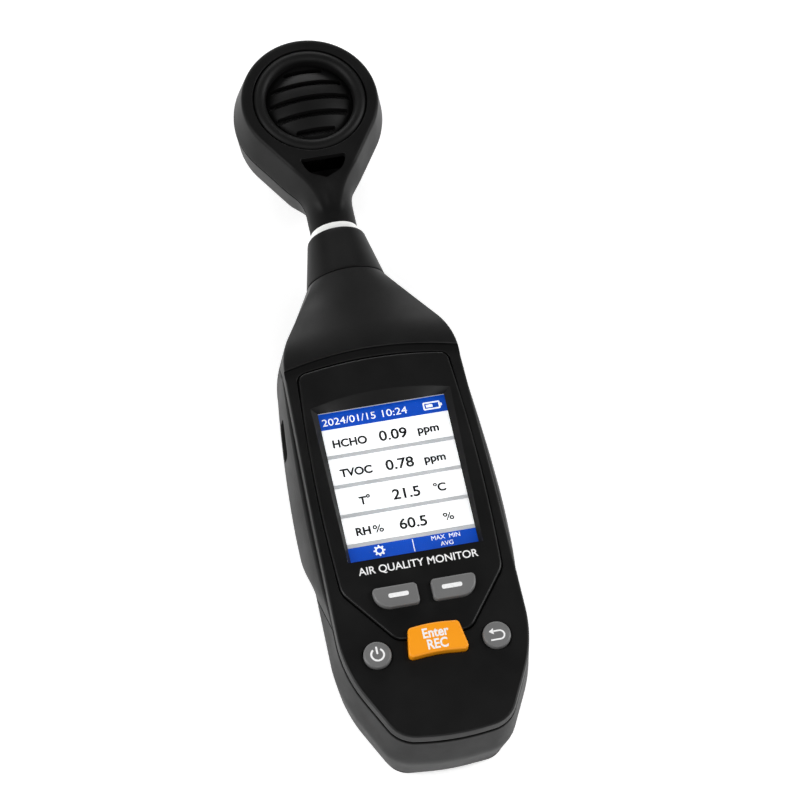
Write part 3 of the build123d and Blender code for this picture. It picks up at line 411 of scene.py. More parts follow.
def repair(mesh, distance, sliver, outwards=False):
    """Joins doubled points, drops faces without area and, if asked, turns the faces outwards."""
    work = bmesh.new()
    work.from_mesh(mesh)
    bmesh.ops.remove_doubles(work, verts=work.verts, dist=distance)
    bmesh.ops.dissolve_degenerate(work, edges=work.edges, dist=sliver)
    if outwards:
        bmesh.ops.recalc_face_normals(work, faces=work.faces)
        if work.calc_volume(signed=True) < 0:
            bmesh.ops.reverse_faces(work, faces=work.faces)
    work.to_mesh(mesh)
    work.free()


def mesh_object(name, vertices, faces):
    """Object from points in millimetres."""
    mesh = bpy.data.meshes.new(name)
    mesh.from_pydata([Vector(v) * MM for v in vertices], [], faces)
    repair(mesh, POINT_WELD, SLIVER, outwards=True)
    return add_object(name, mesh)


def skin(name, columns, closed=False, folded=False):
    """Closed solid over a list of columns, each a loop of as many points, with capped ends.
    The first column of a folded skin lies flat in the mirror plane and needs no cap."""
    count = len(columns[0])
    vertices = [point for column in columns for point in column]
    faces = []
    last = len(columns) if closed else len(columns) - 1
    for column in range(last):
        following = (column + 1) % len(columns)
        for row in range(count):
            below = (row + 1) % count
            faces.append((column * count + row, following * count + row,
                          following * count + below, column * count + below))
    if not closed and not folded:
        faces.append(tuple(range(count)))
    if not closed:
        faces.append(tuple((len(columns) - 1) * count + row for row in range(count)))
    return mesh_object(name, vertices, faces)


def mirrored_loop(half):
    """Full loop from its right half, which starts and ends anywhere."""
    return list(half) + [Vector((-p.x, p.y, p.z)) for p in reversed(half)]


def prism(name, layers):
    """Solid through layers of (loop of plane points, level)."""
    return skin(name, [[Vector((x, y, level)) for x, y in loop] for loop, level in layers])


def lathe(name, profile, count=96):
    """Solid of revolution round the neck's axis; profile is a closed loop of (radius, Y)."""
    columns = []
    for index in range(count):
        angle = 2 * math.pi * index / count
        across, up = math.cos(angle), math.sin(angle)
        columns.append([Vector((r * across, y, AXIS_Z + r * up)) for r, y in profile])
    return skin(name, columns, closed=True)


def carve(target, cutters, operation="DIFFERENCE"):
    """Applies one boolean per cutter to target and removes the cutters."""
    for cutter in cutters:
        modifier = target.modifiers.new("cut", "BOOLEAN")
        modifier.operation = operation
        modifier.object = cutter
        modifier.solver = "EXACT"
    graph = bpy.context.evaluated_depsgraph_get()
    graph.update()
    mesh = bpy.data.meshes.new_from_object(target.evaluated_get(graph))
    target.modifiers.clear()
    target.data = mesh
    repair(mesh, CUT_WELD, CUT_WELD)
    for cutter in cutters:
        bpy.data.objects.remove(cutter)


def finish_shell(piece, body, slot, node, angle=32):
    """Smooth shading with sharp edges kept, then the piece takes the place of its CAD node."""
    mesh = piece.data
    mesh.shade_smooth()
    mesh.set_sharp_from_angle(angle=math.radians(angle))
    mesh.materials.clear()
    mesh.materials.append(FINISHES[slot])
    weighted = piece.modifiers.new("even_normals", "WEIGHTED_NORMAL")
    weighted.keep_sharp = True
    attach(piece, body)
    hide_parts(node)


# ---- body form ----
FACE_Z = 30.0
AXIS_Z = 16.0
SEAM_Y = 33.5
SEAM_RADIUS = 11.15
PARTING_Z = 26.2
HOOD_RISE = 0.9
SHOULDER_HALF_WIDTH = 25.35
SHOULDER_START_Y = 2.4
SHOULDER_ROUND = 25.0
SHOULDER_SLOPE = math.radians(30.2)
OUTLINE_CORNERS = [(-15.75, -106.56), (0, -108.5), (15.75, -106.56), (26.8, -84.5), (26.4, -40)]
OUTLINE_ROUNDS = [66, 10, 40, 800]
SIDE_PROFILE = [(6, 30), (1.21, 30), (0, 13.5), (2.38, 0), (7, 0)]    # distance in, height
SIDE_ROUNDS = [0.6, 12, 2.8]
PROFILE_STEP = 0.6
OUTLINE_STEP = 1.6
LEAST_ROUND = 0.3    # of an inset corner
MIDDLE = -1e-3    # points left of this are made by the mirror
TOP_ROWS = 8
SHOULDER_COUNT = 26
TAPER_END_Y = (-78, -70)    # from here on sections stop following the outline's normal
HOOD_Y = (0.4, 3.4)
HOOD_FOOT_Z = 22
SEAM_STEP_Y = (3, 15)
OVERRUN = 3    # how far an inside runs on past the seam


def shoulder_drop(y):
    """How far the widest line has moved inwards at y: a round, then a straight slope."""
    along = max(0, y - SHOULDER_START_Y)
    on_round = min(along, SHOULDER_ROUND * math.sin(SHOULDER_SLOPE))
    drop = SHOULDER_ROUND - math.sqrt(SHOULDER_ROUND ** 2 - on_round ** 2)
    return drop + (along - on_round) * math.tan(SHOULDER_SLOPE)


def side_profile(inset, floor):
    """Side of the body's section as (distance in, height), moved inwards by inset."""
    rounds = [max(LEAST_ROUND, radius - inset) for radius in SIDE_ROUNDS]
    points, _ = path_with_rounds(inset_corners(SIDE_PROFILE, inset), rounds, PROFILE_STEP)
    return [Vector((p.x, max(floor, p.y))) for p in points]


def half_section(foot, inwards, profile):
    """Right half of a section, from the top's middle to the bottom's middle."""
    side = [Vector((foot.x + inwards.x * s, foot.y + inwards.y * s, z)) for s, z in profile]
    first, last = side[0], side[-1]
    top = [Vector((first.x * row / TOP_ROWS, first.y, first.z)) for row in range(TOP_ROWS)]
    bottom = [Vector((last.x * row / TOP_ROWS, last.y, last.z)) for row in reversed(range(TOP_ROWS))]
    return top + side + bottom


def body_sections(inset=0, floor=0):
    """Half sections of the body from the middle of the foot to the collar seam."""
    profile = side_profile(inset, floor)
    corners = OUTLINE_CORNERS + [(SHOULDER_HALF_WIDTH, SHOULDER_START_Y)]
    outline, normals = path_with_rounds(corners, OUTLINE_ROUNDS, OUTLINE_STEP)
    sections = []
    for point, normal in zip(outline, normals):
        if point.x >= MIDDLE:
            inwards = normal.lerp(Vector((-1, 0)), smooth(point.y, *TAPER_END_Y)).normalized()
            sections.append(half_section(point, inwards, profile))
    sections += shoulder_sections(profile, SEAM_RADIUS - inset)
    for point in (point for section in sections for point in section):
        fade = 1 - shoulder_drop(point.y) / shoulder_drop(SEAM_Y)
        lift = HOOD_RISE * smooth(point.y, *HOOD_Y) * fade
        point.z += lift * min(1, max(0, (point.z - HOOD_FOOT_Z) / (FACE_Z - HOOD_FOOT_Z)))
    if inset:
        sections.append([point + Vector((0, OVERRUN, 0)) for point in sections[-1]])
    return sections


def shoulder_sections(profile, radius):
    """Half sections that turn from the body's full width into a circle at the collar seam."""
    sections = []
    for index in range(1, SHOULDER_COUNT + 1):
        y = SHOULDER_START_Y + (SEAM_Y - SHOULDER_START_Y) * index / SHOULDER_COUNT
        base = half_section(Vector((SHOULDER_HALF_WIDTH, y)), Vector((-1, 0)), profile)
        share = shoulder_drop(y) / shoulder_drop(SEAM_Y)
        sections.append([point.lerp(on_ring(point, y, radius), share) for point in base])
    return sections


def on_ring(point, y, radius):
    """The place on a circle round the neck's axis at y, in the direction of point."""
    angle = math.atan2(point.x, point.z - AXIS_Z)
    return Vector((radius * math.sin(angle), y, AXIS_Z + radius * math.cos(angle)))


def seam_height(y):
    """Height of the seam between the housings, which steps down to the neck's axis."""
    return PARTING_Z + (AXIS_Z - PARTING_Z) * smooth(y, *SEAM_STEP_Y)


LIP_MARGIN = 0.05
FRONT_LIP = [(-1.05, 0), (-0.8, 0.03), (-0.66, 0.13), (-0.6, 0.4), (-0.6, 1.3)]    # along, depth
REAR_LIP = [(-0.5, 1.3), (-0.5, 0.95), (0.4, 0.9), (0.4, 0.42), (0.46, 0.14), (0.6, 0.03), (0.85, 0)]


def lip_points(section, place, lip):
    """Points of a rounded lip beside the seam, from places along and depths into the surface."""
    before, after = at(section, place - 0.5), at(section, place + 0.5)
    spacing = (after - before).length
    along = (after - before).normalized()
    inwards = section[TOP_ROWS] - at(section, place)
    inwards.z = 0
    inwards = (inwards - along * inwards.dot(along)).normalized()
    return [at(section, place + distance / spacing) + inwards * depth for distance, depth in lip]


def half_shell(name, sections, seam, lip, rows, front):
    """Front or rear half of a form as a closed solid; seam(y) is its edge's height, with a lip there."""
    columns = []
    for section in sections:
        place = crossing(section, seam(section[TOP_ROWS].y), TOP_ROWS)
        spacing = (at(section, place + 0.5) - at(section, place - 0.5)).length
        margin = LIP_MARGIN / spacing + max(abs(distance) for distance, _ in lip) / spacing
        if front:
            half = [at(section, (place - margin) * index / rows) for index in range(rows + 1)]
            half += lip_points(section, place, lip)
        else:
            start = place + margin
            rest = len(section) - 1 - start
            half = lip_points(section, place, lip)
            half += [at(section, start + rest * index / rows) for index in range(rows + 1)]
        columns.append(mirrored_loop(half))
    return skin(name, columns, folded=True)


def body_form(name, inset, floor):
    """The whole body as one closed solid, moved inwards by inset."""
    return skin(name, [mirrored_loop(section) for section in body_sections(inset, floor)], folded=True)


# ---- body pieces ----
WALL = 2.0
BACK_WALL = 3.2
SCREEN_CENTRE_Y = -31.1
WINDOW = (19.3, 23.7)    # half width and half length of the hole behind the lens
BEZEL_FLOOR_Z = 28.8
DOOR_TOP_Y = -38.0
BAY = (17.5, 25.5)    # half width and half length
BAY_Y = -65.5
BAY_TOP_Z = 14.6
TRAY_WALL = 1.2
DOOR_SPACE = [(-16.4, -1), (-16.4, 0), (-17.15, 1.85), (17.15, 1.85), (16.4, 0), (16.4, -1)]    # x, z
BEYOND_FOOT_Y = -120
CASE_SCREWS = [(-13.5, -97.0), (13.5, -97.0), (-17.5, -0.5), (17.5, -0.5)]
CASE_BOSS = [(3.2, 2.2), (3.0, 13.9)]    # radius, height
CASE_RECESS = [(2.85, -1), (2.55, 0.3), (2.55, 4.0)]
TRIPOD_Y = -20.0
TRIPOD_BOSS = [(6.5, 2.2), (6.5, 9.5)]
TRIPOD_HOLE = [(4.62, -1), (4.62, 8.05)]
PORT_Y = -10.7
PORT_Z = 17.9
PORT_HALF = (5.8, 2.5)    # half length and half height
PORT_ROUND = 1.6
PORT_X = (-35, -22.5)
HOOD_CUT = [(FACE_Z, 0), (FACE_Z + 0.62, 0.12), (FACE_Z + 0.84, 0.4), (FACE_Z + 1.0, 1.6), (36, 12)]
CUT_REACH_X = 34    # cutters end beyond the sides
HOOD_CUT_STEP = 4
CREASE_Y = 7.0
CREASE_CURVE = 0.0055
FLARE = [(0, -0.3), (0.03, -0.17), (0.13, -0.05), (0.32, 0.02), (0.4, 2)]    # out, above the face


def hood_cutter():
    """Everything above the flat face, up to the arc of the hood's rounded crease."""
    reach = CUT_REACH_X
    layers = []
    for level, back in HOOD_CUT:
        across = range(reach, -reach - 1, -HOOD_CUT_STEP)
        crease = [(x, CREASE_Y + back - CREASE_CURVE * x * x) for x in across]
        layers.append(([(reach, BEYOND_FOOT_Y), *crease, (-reach, BEYOND_FOOT_Y)], level))
    return prism("hood_cutter", layers)


def turned(name, x, y, profile, count=32):
    """Upright round solid through (radius, height) pairs."""
    return prism(name, [(circle(x, y, radius, count), level) for radius, level in profile])


def circle(x, y, radius, count=48):
    angles = [2 * math.pi * index / count for index in range(count)]
    return [(x + radius * math.cos(a), y + radius * math.sin(a)) for a in angles]


def mirrored_outline(half):
    """Closed outline from its right half, which runs from the middle line back to it."""
    between = half[1:-1]
    return [(0, half[0][1]), *between, (0, half[-1][1]), *[(-x, y) for x, y in reversed(between)]]


def half_loop(corners, radii, step, grow):
    """Closed outline whose right half runs clockwise over the corners, moved outwards by grow."""
    points, normals = path_with_rounds(corners, radii, step)
    half = [p + n * grow for p, n in zip(points, normals) if p.x > MIDDLE]
    return mirrored_outline([(p.x, p.y) for p in half])


def bezel_loop(grow):
    """Shield outline of the bezel, moved outwards by grow."""
    right = [(20.8, 2.25), (22.5, -36), (21.9, -62.6), (10.0, -78.3)]
    corners = [(-20.8, 2.25), (0, 5.95), *right, (0, -78.3)]
    return half_loop(corners, [100, 2.6, 300, 6, 4], 0.7, grow)


ROUND_KEY_X = 16.15
ROUND_KEY_Y = -81.6
ROUND_KEY_RADIUS = 3.75


def round_key_loop(side, grow):
    return circle(side * ROUND_KEY_X, ROUND_KEY_Y, ROUND_KEY_RADIUS + grow)


def enter_loop(grow):
    """Trapezoid with an arched top edge and a hollowed lower edge."""
    corners = [(-6.9, -75.95), (0, -75.25), (6.9, -75.95), (8.3, -84.5), (0, -83.75), (-8.3, -84.5)]
    return half_loop(corners, [40, 1.2, 1.2, 40], 0.35, grow)


def softkey_loop(side, grow):
    """Soft key with a large round on its outer lower corner."""
    corners = [(8, -63.2), (14.1, -63.2), (13.5, -69.3), (1.85, -69.3), (1.85, -63.2), (8, -63.2)]
    points, normals = path_with_rounds(corners, [1.2, 4.4, 1.2, 1.2], 0.35)
    return [(side * (p.x + n.x * grow), p.y + n.y * grow) for p, n in zip(points[:-1], normals)]


KEYS = {    # outline, top, body
    "softkey_left": (lambda grow: softkey_loop(-1, grow), 31.97, "left_softkey"),
    "softkey_right": (lambda grow: softkey_loop(1, grow), 31.97, "right_softkey"),
    "enter_key": (enter_loop, 31.9, "enter_button"),
    "power_key": (lambda grow: round_key_loop(-1, grow), 31.2, "power_button"),
    "back_key": (lambda grow: round_key_loop(1, grow), 31.2, "back_button"),
}
KEY_ROUND = 0.65
KEY_FLANGE = 0.9
KEY_FLANGE_Z = (26.7, 27.9)
KEY_GAP = 0.2
BEZEL_GAP = 0.3
FACE_INSIDE_Z = 26


def flared_hole(name, loop, gap, low, face):
    """Cutter with a straight wall up to a small rounded lip at the face."""
    flare = [(loop(gap + out), face + above) for out, above in FLARE]
    return prism(name, [(loop(gap), low), *flare])


def make_front(sections):
    front = half_shell("front_housing_shell", sections, seam_height, FRONT_LIP, 34, True)
    x, y = WINDOW
    window = rounded_box(-x, SCREEN_CENTRE_Y - y, x, SCREEN_CENTRE_Y + y, 1.0)
    cutters = [
        hood_cutter(),
        body_form("front_inside", WALL, BACK_WALL),
        flared_hole("bezel_pocket", bezel_loop, BEZEL_GAP, BEZEL_FLOOR_Z, FACE_Z),
        prism("window", [(window, FACE_INSIDE_Z), (window, FACE_Z)]),
    ]
    for name, (loop, _, _) in KEYS.items():
        cutters.append(flared_hole(name + "_hole", loop, KEY_GAP, FACE_INSIDE_Z, FACE_Z))
    carve(front, cutters)
    finish_shell(front, "meter", "front_plastic", "front_housing")


def make_rear(sections):
    rear = half_shell("rear_housing_shell", sections, seam_height, REAR_LIP, 44, False)
    carve(rear, [body_form("rear_inside", WALL, BACK_WALL)])
    x, y = BAY
    wall_x, wall_y = x + TRAY_WALL, y + TRAY_WALL
    tray = rounded_box(-wall_x, BAY_Y - wall_y, wall_x, BAY_Y + wall_y, 1.0)
    bosses = [prism("tray", [(tray, 1.8), (tray, BAY_TOP_Z + TRAY_WALL)])]
    bosses += [turned("boss", *place, CASE_BOSS) for place in CASE_SCREWS]
    bosses.append(turned("boss", 0, TRIPOD_Y, TRIPOD_BOSS, 48))
    carve(rear, bosses, "UNION")
    bay = rounded_box(-x, BAY_Y - y, x, BAY_Y + y, 0.6)
    door_ends = (BEYOND_FOOT_Y, DOOR_TOP_Y + 0.15)
    cutters = [
        prism("bay", [(bay, -1), (bay, BAY_TOP_Z)]),
        skin("door_space", [[Vector((a, y, b)) for a, b in DOOR_SPACE] for y in door_ends]),
        *(turned("recess", *place, CASE_RECESS) for place in CASE_SCREWS),
        turned("insert_hole", 0, TRIPOD_Y, TRIPOD_HOLE, 48),
        port_cutter(),
        *(side_panel("grip_pocket", sections, side, GRIP_POCKET_GAP, None) for side in (-1, 1)),
    ]
    carve(rear, cutters)
    finish_shell(rear, "meter", "rear_plastic", "rear_housing")


def port_cutter():
    long, high = PORT_HALF
    loop = rounded_box(PORT_Y - long, PORT_Z - high, PORT_Y + long, PORT_Z + high, PORT_ROUND)
    return skin("port", [[Vector((x, y, z)) for y, z in loop] for x in PORT_X])


def surface_x(sections, y, z):
    """Half width of the body at a place on its side."""
    for before, after in zip(sections, sections[1:]):
        low, high = before[TOP_ROWS].y, after[TOP_ROWS].y
        if low > LONG_SIDE_Y and low <= y <= high:
            share = (y - low) / (high - low)
            ends = [at(section, crossing(section, z, TOP_ROWS)).x for section in (before, after)]
            return ends[0] + (ends[1] - ends[0]) * share
    return 0


LONG_SIDE_Y = -80    # the grips lie on the long sides above this
GRIP_LOW_Z = 3.5
GRIP_HIGH_Z = 25.95
GRIP_FOOT_EDGE = ((-44, 3.5), (-71, 26.2))    # y, z of the slanted seam
GRIP_TOP_EDGES = (((10, 19), (6, 3.5)), ((10, 19), (3.5, 26.2)))    # below and above its point
GRIP_POINT_Z = 19
GRIP_CREST_Y = -36.5
GRIP_CREST_Z = 14.8
GRIP_CREST = 2.2
GRIP_REACH = (34.5, 40, 12)    # of the bulge towards the foot, towards the head and up or down
GRIP_SWELL = 11    # along which the bulge rises from the slanted seam
GRIP_POCKET_GAP = 0.16
GRIP_ROUND = 0.6
PANEL_DEPTH = 1.2
PANEL_STEP = 1.1
LIP_SHARES = [0, 0.08, 0.22, 0.42, 0.68, 1]
GRIP_LENGTH = 80.0    # nominal, for spacing the points along it
SIDE_TOP_Z = 28    # the body's side is looked up no higher


def edge_y(edge, z):
    """Where a straight edge through two (y, z) places stands at a height."""
    (start_y, start_z), (end_y, end_z) = edge
    return start_y + (end_y - start_y) * (z - start_z) / (end_z - start_z)


def grip_ends(z):
    """Where the grip begins and ends along the body, at a height."""
    return edge_y(GRIP_FOOT_EDGE, z), edge_y(GRIP_TOP_EDGES[z > GRIP_POINT_Z], z)


def grip_bulge(y, z):
    """How far the grip stands proud of the body."""
    foot_reach, head_reach, high_reach = GRIP_REACH
    reach = foot_reach if y < GRIP_CREST_Y else head_reach
    along = max(0, 1 - ((y - GRIP_CREST_Y) / reach) ** 2)
    around = math.sqrt(max(0, 1 - ((z - GRIP_CREST_Z) / high_reach) ** 2))
    return GRIP_CREST * along * around * smooth(y - grip_ends(z)[0], 0, GRIP_SWELL)


def border_steps(low, high, spacing, lip):
    """Places from low to high; with a lip they crowd at both ends to round it."""
    steps = [share * lip for share in LIP_SHARES] if lip else [0]
    count = max(2, round((high - low - 2 * steps[-1]) / spacing))
    between = [low + steps[-1] + (high - low - 2 * steps[-1]) * index / count for index in range(1, count)]
    return [low + step for step in steps] + between + [high - step for step in reversed(steps)]


def side_panel(name, sections, side, grow, lip):
    """Closed panel over the grip's area: the grip itself, or with no lip the space cut for it."""
    levels = border_steps(GRIP_LOW_Z - grow, GRIP_HIGH_Z + grow * 4, PANEL_STEP, lip)
    rows = []
    for z in levels:
        start, end = grip_ends(min(z, GRIP_HIGH_Z + 0.2))
        shares = border_steps(0, GRIP_LENGTH, PANEL_STEP, lip)
        low, high = start - 1.4 * grow, end + 1.4 * grow
        places = [low + (high - low) * share / GRIP_LENGTH for share in shares]
        edge_z = min(z - levels[0], levels[-1] - z)
        outer, inner = [], []
        for y in places:
            surface = surface_x(sections, y, min(z, SIDE_TOP_Z))
            inner.append(Vector((side * (surface - PANEL_DEPTH), y, z)))
            if lip is None:
                outer.append(Vector((side * CUT_REACH_X, y, z)))
                continue
            edge = min(edge_z, y - places[0], places[-1] - y, lip)
            drop = lip - math.sqrt(lip ** 2 - (lip - edge) ** 2)
            outer.append(Vector((side * (surface + grip_bulge(y, z) - drop), y, z)))
        rows.append((outer, inner))
    columns = []
    for index in range(len(rows[0][0])):
        columns.append([outer[index] for outer, _ in rows] + [inner[index] for _, inner in reversed(rows)])
    return skin(name, columns)


def make_grips(sections):
    for side, name in ((-1, "grip_left"), (1, "grip_right")):
        grip = side_panel(name + "_panel", sections, side, 0, GRIP_ROUND)
        if side < 0:
            carve(grip, [port_cutter()])
        finish_shell(grip, "meter", "grip_plastic", name, angle=50)


def make_keys():
    """Keys with a rounded top edge over their hidden flange."""
    low, high = KEY_FLANGE_Z
    for name, (loop, top, body) in KEYS.items():
        layers = [(loop(KEY_FLANGE), low), (loop(KEY_FLANGE), high), (loop(0), high)]
        for step in range(7):
            angle = math.radians(15 * step)
            grow = -KEY_ROUND * (1 - math.cos(angle))
            layers.append((loop(grow), top - KEY_ROUND * (1 - math.sin(angle))))
        key = prism(name + "_cap", layers)
        slot = "key_orange" if name == "enter_key" else "key_grey"
        finish_shell(key, body, slot, name)


def make_body():
    sections = body_sections()
    make_front(sections)
    make_rear(sections)
    make_grips(sections)
    make_keys()


# ---- sensor head ----
HEAD_Y = 87.0
HEAD_RADIUS = 21.0
HEAD_SLOPE = math.radians(34)
NECK_RADIUS = 6.6
NECK_START_Y = 50.5
HEAD_PROFILE = [(4.2, 27.2), (1.95, 27.2), (0, 16), (1.95, 4.8), (4.2, 4.8)]
HEAD_ROUNDS = [1.1, 6, 1.1]
HEAD_OUTLINE_STEP = 1.0
HEAD_FACE_Z = 27.2
HEAD_HOLE_Z = 20
HEAD_ROOT_Y = (53.5, 65.5)    # the round neck becomes the flat head between these
HEAD_INSIDE_Y = 66
NECK_ROUND = 14
FLUTE_DEPTH = 0.8    # shallow hollow along the front and back of the neck
FLUTE_WIDTH = 2.0
FLUTE_Y = (52, 57, 59, 63)
GRILLE_HOLE = 15.95
HEAD_FRONT_LIP = [(-0.5, 0), (-0.3, 0.02), (-0.16, 0.1), (-0.09, 0.3), (-0.07, 1.0)]
HEAD_REAR_LIP = [(0.07, 1.0), (0.09, 0.3), (0.16, 0.1), (0.3, 0.02), (0.5, 0)]
HEAD_SCREW_CIRCLE = 16.9
HEAD_RECESS = [(2.0, 3), (1.8, 5.1), (1.8, 6.4)]    # radius, height
SLOT_PITCH = 4.75
SLOT_HALF_LENGTHS = [5.6, 10.1, 11.6, 10.1, 5.6]
REAR_SLOT_SHARE = 0.8    # of the front slots' length
COLLAR_CORNERS = [(8, 33.8), (11.15, 33.8), (7.95, 48.38), (3.9, 48.38), (3.9, 41), (8, 41), (8, 33.8)]
COLLAR_ROUNDS = [0.25, 1.4, 0.1, 0.1, 0.1]
RING_CORNERS = [(3.9, 48.4), (6.65, 48.4), (6.65, 50.45), (3.9, 50.45), (3.9, 48.4)]
RING_ROUNDS = [0.3, 0.3, 0.1]


def head_sections(inset=0):
    """Half sections of the head from its crown down both flanks to the neck."""
    rounds = [max(LEAST_ROUND, radius - inset) for radius in HEAD_ROUNDS]
    profile, _ = path_with_rounds(inset_corners(HEAD_PROFILE, inset), rounds, PROFILE_STEP)
    crown_y = HEAD_Y + HEAD_RADIUS
    flank_x = HEAD_RADIUS * math.tan((math.pi / 2 + HEAD_SLOPE) / 2)
    foot_y = crown_y - (flank_x - NECK_RADIUS) / math.tan(HEAD_SLOPE)
    corners = [(-9, crown_y), (flank_x, crown_y), (NECK_RADIUS, foot_y), (NECK_RADIUS, NECK_START_Y)]
    outline, normals = path_with_rounds(corners, [HEAD_RADIUS, NECK_ROUND], HEAD_OUTLINE_STEP)
    sections = []
    for point, normal in zip(outline, normals):
        if point.x < MIDDLE or (inset and point.y < HEAD_INSIDE_Y):
            continue
        share = 1 - smooth(point.y, *HEAD_ROOT_Y)
        flat = half_section(point, -normal, profile)
        section = [place.lerp(on_ring(place, point.y, NECK_RADIUS), share) for place in flat]
        for place in section:
            place.z -= math.copysign(neck_flute(place), place.z - AXIS_Z)
        sections.append(section)
    return sections


def neck_flute(place):
    """Depth of the hollow that runs along the neck, at a place on it."""
    start, deep, shallow, end = FLUTE_Y
    along = smooth(place.y, start, deep) * (1 - smooth(place.y, shallow, end))
    return FLUTE_DEPTH * math.exp(-(place.x / FLUTE_WIDTH) ** 2) * along


def head_inside(name):
    return skin(name, [mirrored_loop(section) for section in head_sections(WALL)], folded=True)


def intake_loop(grow):
    """Flat-topped opening with a curved foot."""
    corners = [(0, 68.8), (6.5, 68.8), (5.1, 64.7), (0, 62.75)]
    return half_loop(corners, [0.5, 4.5], 0.4, grow)


def grille_loop(grow):
    return circle(0, HEAD_Y, GRILLE_HOLE + grow, 96)


def make_head_front(sections):
    front = half_shell("head_front_shell", sections, lambda y: AXIS_Z, HEAD_FRONT_LIP, 26, True)
    cutters = [
        head_inside("head_front_inside"),
        flared_hole("grille_hole", grille_loop, 0, HEAD_HOLE_Z, HEAD_FACE_Z),
        flared_hole("intake", intake_loop, 0, HEAD_HOLE_Z, HEAD_FACE_Z),
    ]
    carve(front, cutters)
    finish_shell(front, "sensor_module", "head_plastic", "head_front")


def make_head_rear(sections):
    rear = half_shell("head_rear_shell", sections, lambda y: AXIS_Z, HEAD_REAR_LIP, 26, False)
    cutters = [head_inside("head_rear_inside")]
    for row, half_length in enumerate(SLOT_HALF_LENGTHS):
        y = HEAD_Y + (row - 2) * SLOT_PITCH
        half_length *= REAR_SLOT_SHARE
        loop = rounded_box(-half_length, y - 0.9, half_length, y + 0.9, 0.85)
        cutters.append(prism("rear_slot", [(loop, 3), (loop, 9)]))
    for index in range(3):
        angle = math.radians(90 + 120 * index)
        x, y = HEAD_SCREW_CIRCLE * math.cos(angle), HEAD_Y + HEAD_SCREW_CIRCLE * math.sin(angle)
        cutters.append(turned("recess", x, y, HEAD_RECESS))
    carve(rear, cutters)
    finish_shell(rear, "sensor_module", "head_plastic", "head_rear")


def make_neck():
    """The cone that meets the body and the white ring above it."""
    outline, _ = path_with_rounds(COLLAR_CORNERS, COLLAR_ROUNDS, 0.5)
    collar = lathe("collar_cone", outline[:-1])
    finish_shell(collar, "sensor_module", "head_plastic", "collar")
    outline, _ = path_with_rounds(RING_CORNERS, RING_ROUNDS, 0.3)
    ring = lathe("neck_ring_band", outline[:-1])
    finish_shell(ring, "sensor_module", "ring_white", "neck_ring")


def make_head():
    sections = head_sections()
    make_head_front(sections)
    make_head_rear(sections)
    make_neck()


# ---- printed and displayed marks ----
CAPITAL_SHARE = 0.70    # height of the typeface's capitals in its size


class Marks:
    """Thin raised marks on one flat face, in millimetres, joined into one mesh."""

    def __init__(self, level, thickness):
        self.level = level * MM
        self.thickness = thickness * MM
        self.parts = []

    def text(self, words, x, y, height, bold=0.0, stretch=1.0):
        """Words whose capitals are height tall, centred on x and y."""
        curve = bpy.data.curves.new("words", "FONT")
        curve.body = words
        curve.size = height * MM / CAPITAL_SHARE
        curve.align_x = "CENTER"
        curve.extrude = self.thickness / 2
        curve.offset = bold * MM
        curve.resolution_u = 6
        words_object = bpy.data.objects.new("words", curve)
        mesh = bpy.data.meshes.new_from_object(words_object)
        for vertex in mesh.vertices:
            vertex.co.x = vertex.co.x * stretch + x * MM
            vertex.co.y += (y - height / 2) * MM
        bpy.data.objects.remove(words_object)
        self.parts.append(mesh)

    def percent(self, x, y, height):
        """Percent sign as tall as capitals of that height."""
        for side in (-1, 1):
            centre = (x + side * 0.37 * height, y - side * 0.23 * height)
            ring(self, *centre, 0.28 * height, 0.11 * height)
        lean, half, rise = 0.28 * height, 0.085 * height, 0.5 * height
        corners = ((-1, -1), (-1, 1), (1, 1), (1, -1))
        self.outline([[(x + up * lean + across * half, y + up * rise) for up, across in corners]])

    def outline(self, loops):
        """Filled shape from closed loops of points; later loops are holes."""
        curve = bpy.data.curves.new("shape", "CURVE")
        curve.dimensions = "2D"
        curve.fill_mode = "BOTH"
        curve.extrude = self.thickness / 2
        for loop in loops:
            spline = curve.splines.new("POLY")
            spline.points.add(len(loop) - 1)
            for point, (x, y) in zip(spline.points, loop):
                point.co = (x * MM, y * MM, 0, 1)
            spline.use_cyclic_u = True
        shape = bpy.data.objects.new("shape", curve)
        self.parts.append(bpy.data.meshes.new_from_object(shape))
        bpy.data.objects.remove(shape)

    def join(self, name, material, body, slot):
        """One piece from all the marks made so far, standing on the face and riding on a body."""
        vertices, faces = [], []
        middle = self.level + self.thickness / 2
        for mesh in self.parts:
            start = len(vertices)
            vertices += [(v.co.x, v.co.y, v.co.z + middle) for v in mesh.vertices]
            faces += [[start + index for index in face.vertices] for face in mesh.polygons]
        joined = bpy.data.meshes.new(name)
        joined.from_pydata(vertices, [], faces)
        joined.validate()
        joined.materials.append(material)
        piece = add_object(name, joined)
        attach(piece, body)


def rounded_box(x0, y0, x1, y1, radius, steps=5):
    """Loop of points round a rectangle with rounded corners."""
    loop = []
    for cx, cy, start in ((x1, y1, 0), (x0, y1, 90), (x0, y0, 180), (x1, y0, 270)):
        centre_x = cx - math.copysign(radius, cx - (x0 + x1) / 2)
        centre_y = cy - math.copysign(radius, cy - (y0 + y1) / 2)
        for step in range(steps + 1):
            angle = math.radians(start + 90 * step / steps)
            loop.append((centre_x + radius * math.cos(angle), centre_y + radius * math.sin(angle)))
    return loop


def arc(cx, cy, radius, start, end, steps=24):
    """Points along an arc, angles in degrees."""
    angles = [math.radians(start + (end - start) * step / steps) for step in range(steps + 1)]
    return [(cx + radius * math.cos(a), cy + radius * math.sin(a)) for a in angles]


def band(cx, cy, radius, width, start, end):
    """Loop round a thick arc."""
    return arc(cx, cy, radius + width / 2, start, end) + arc(cx, cy, radius - width / 2, end, start)


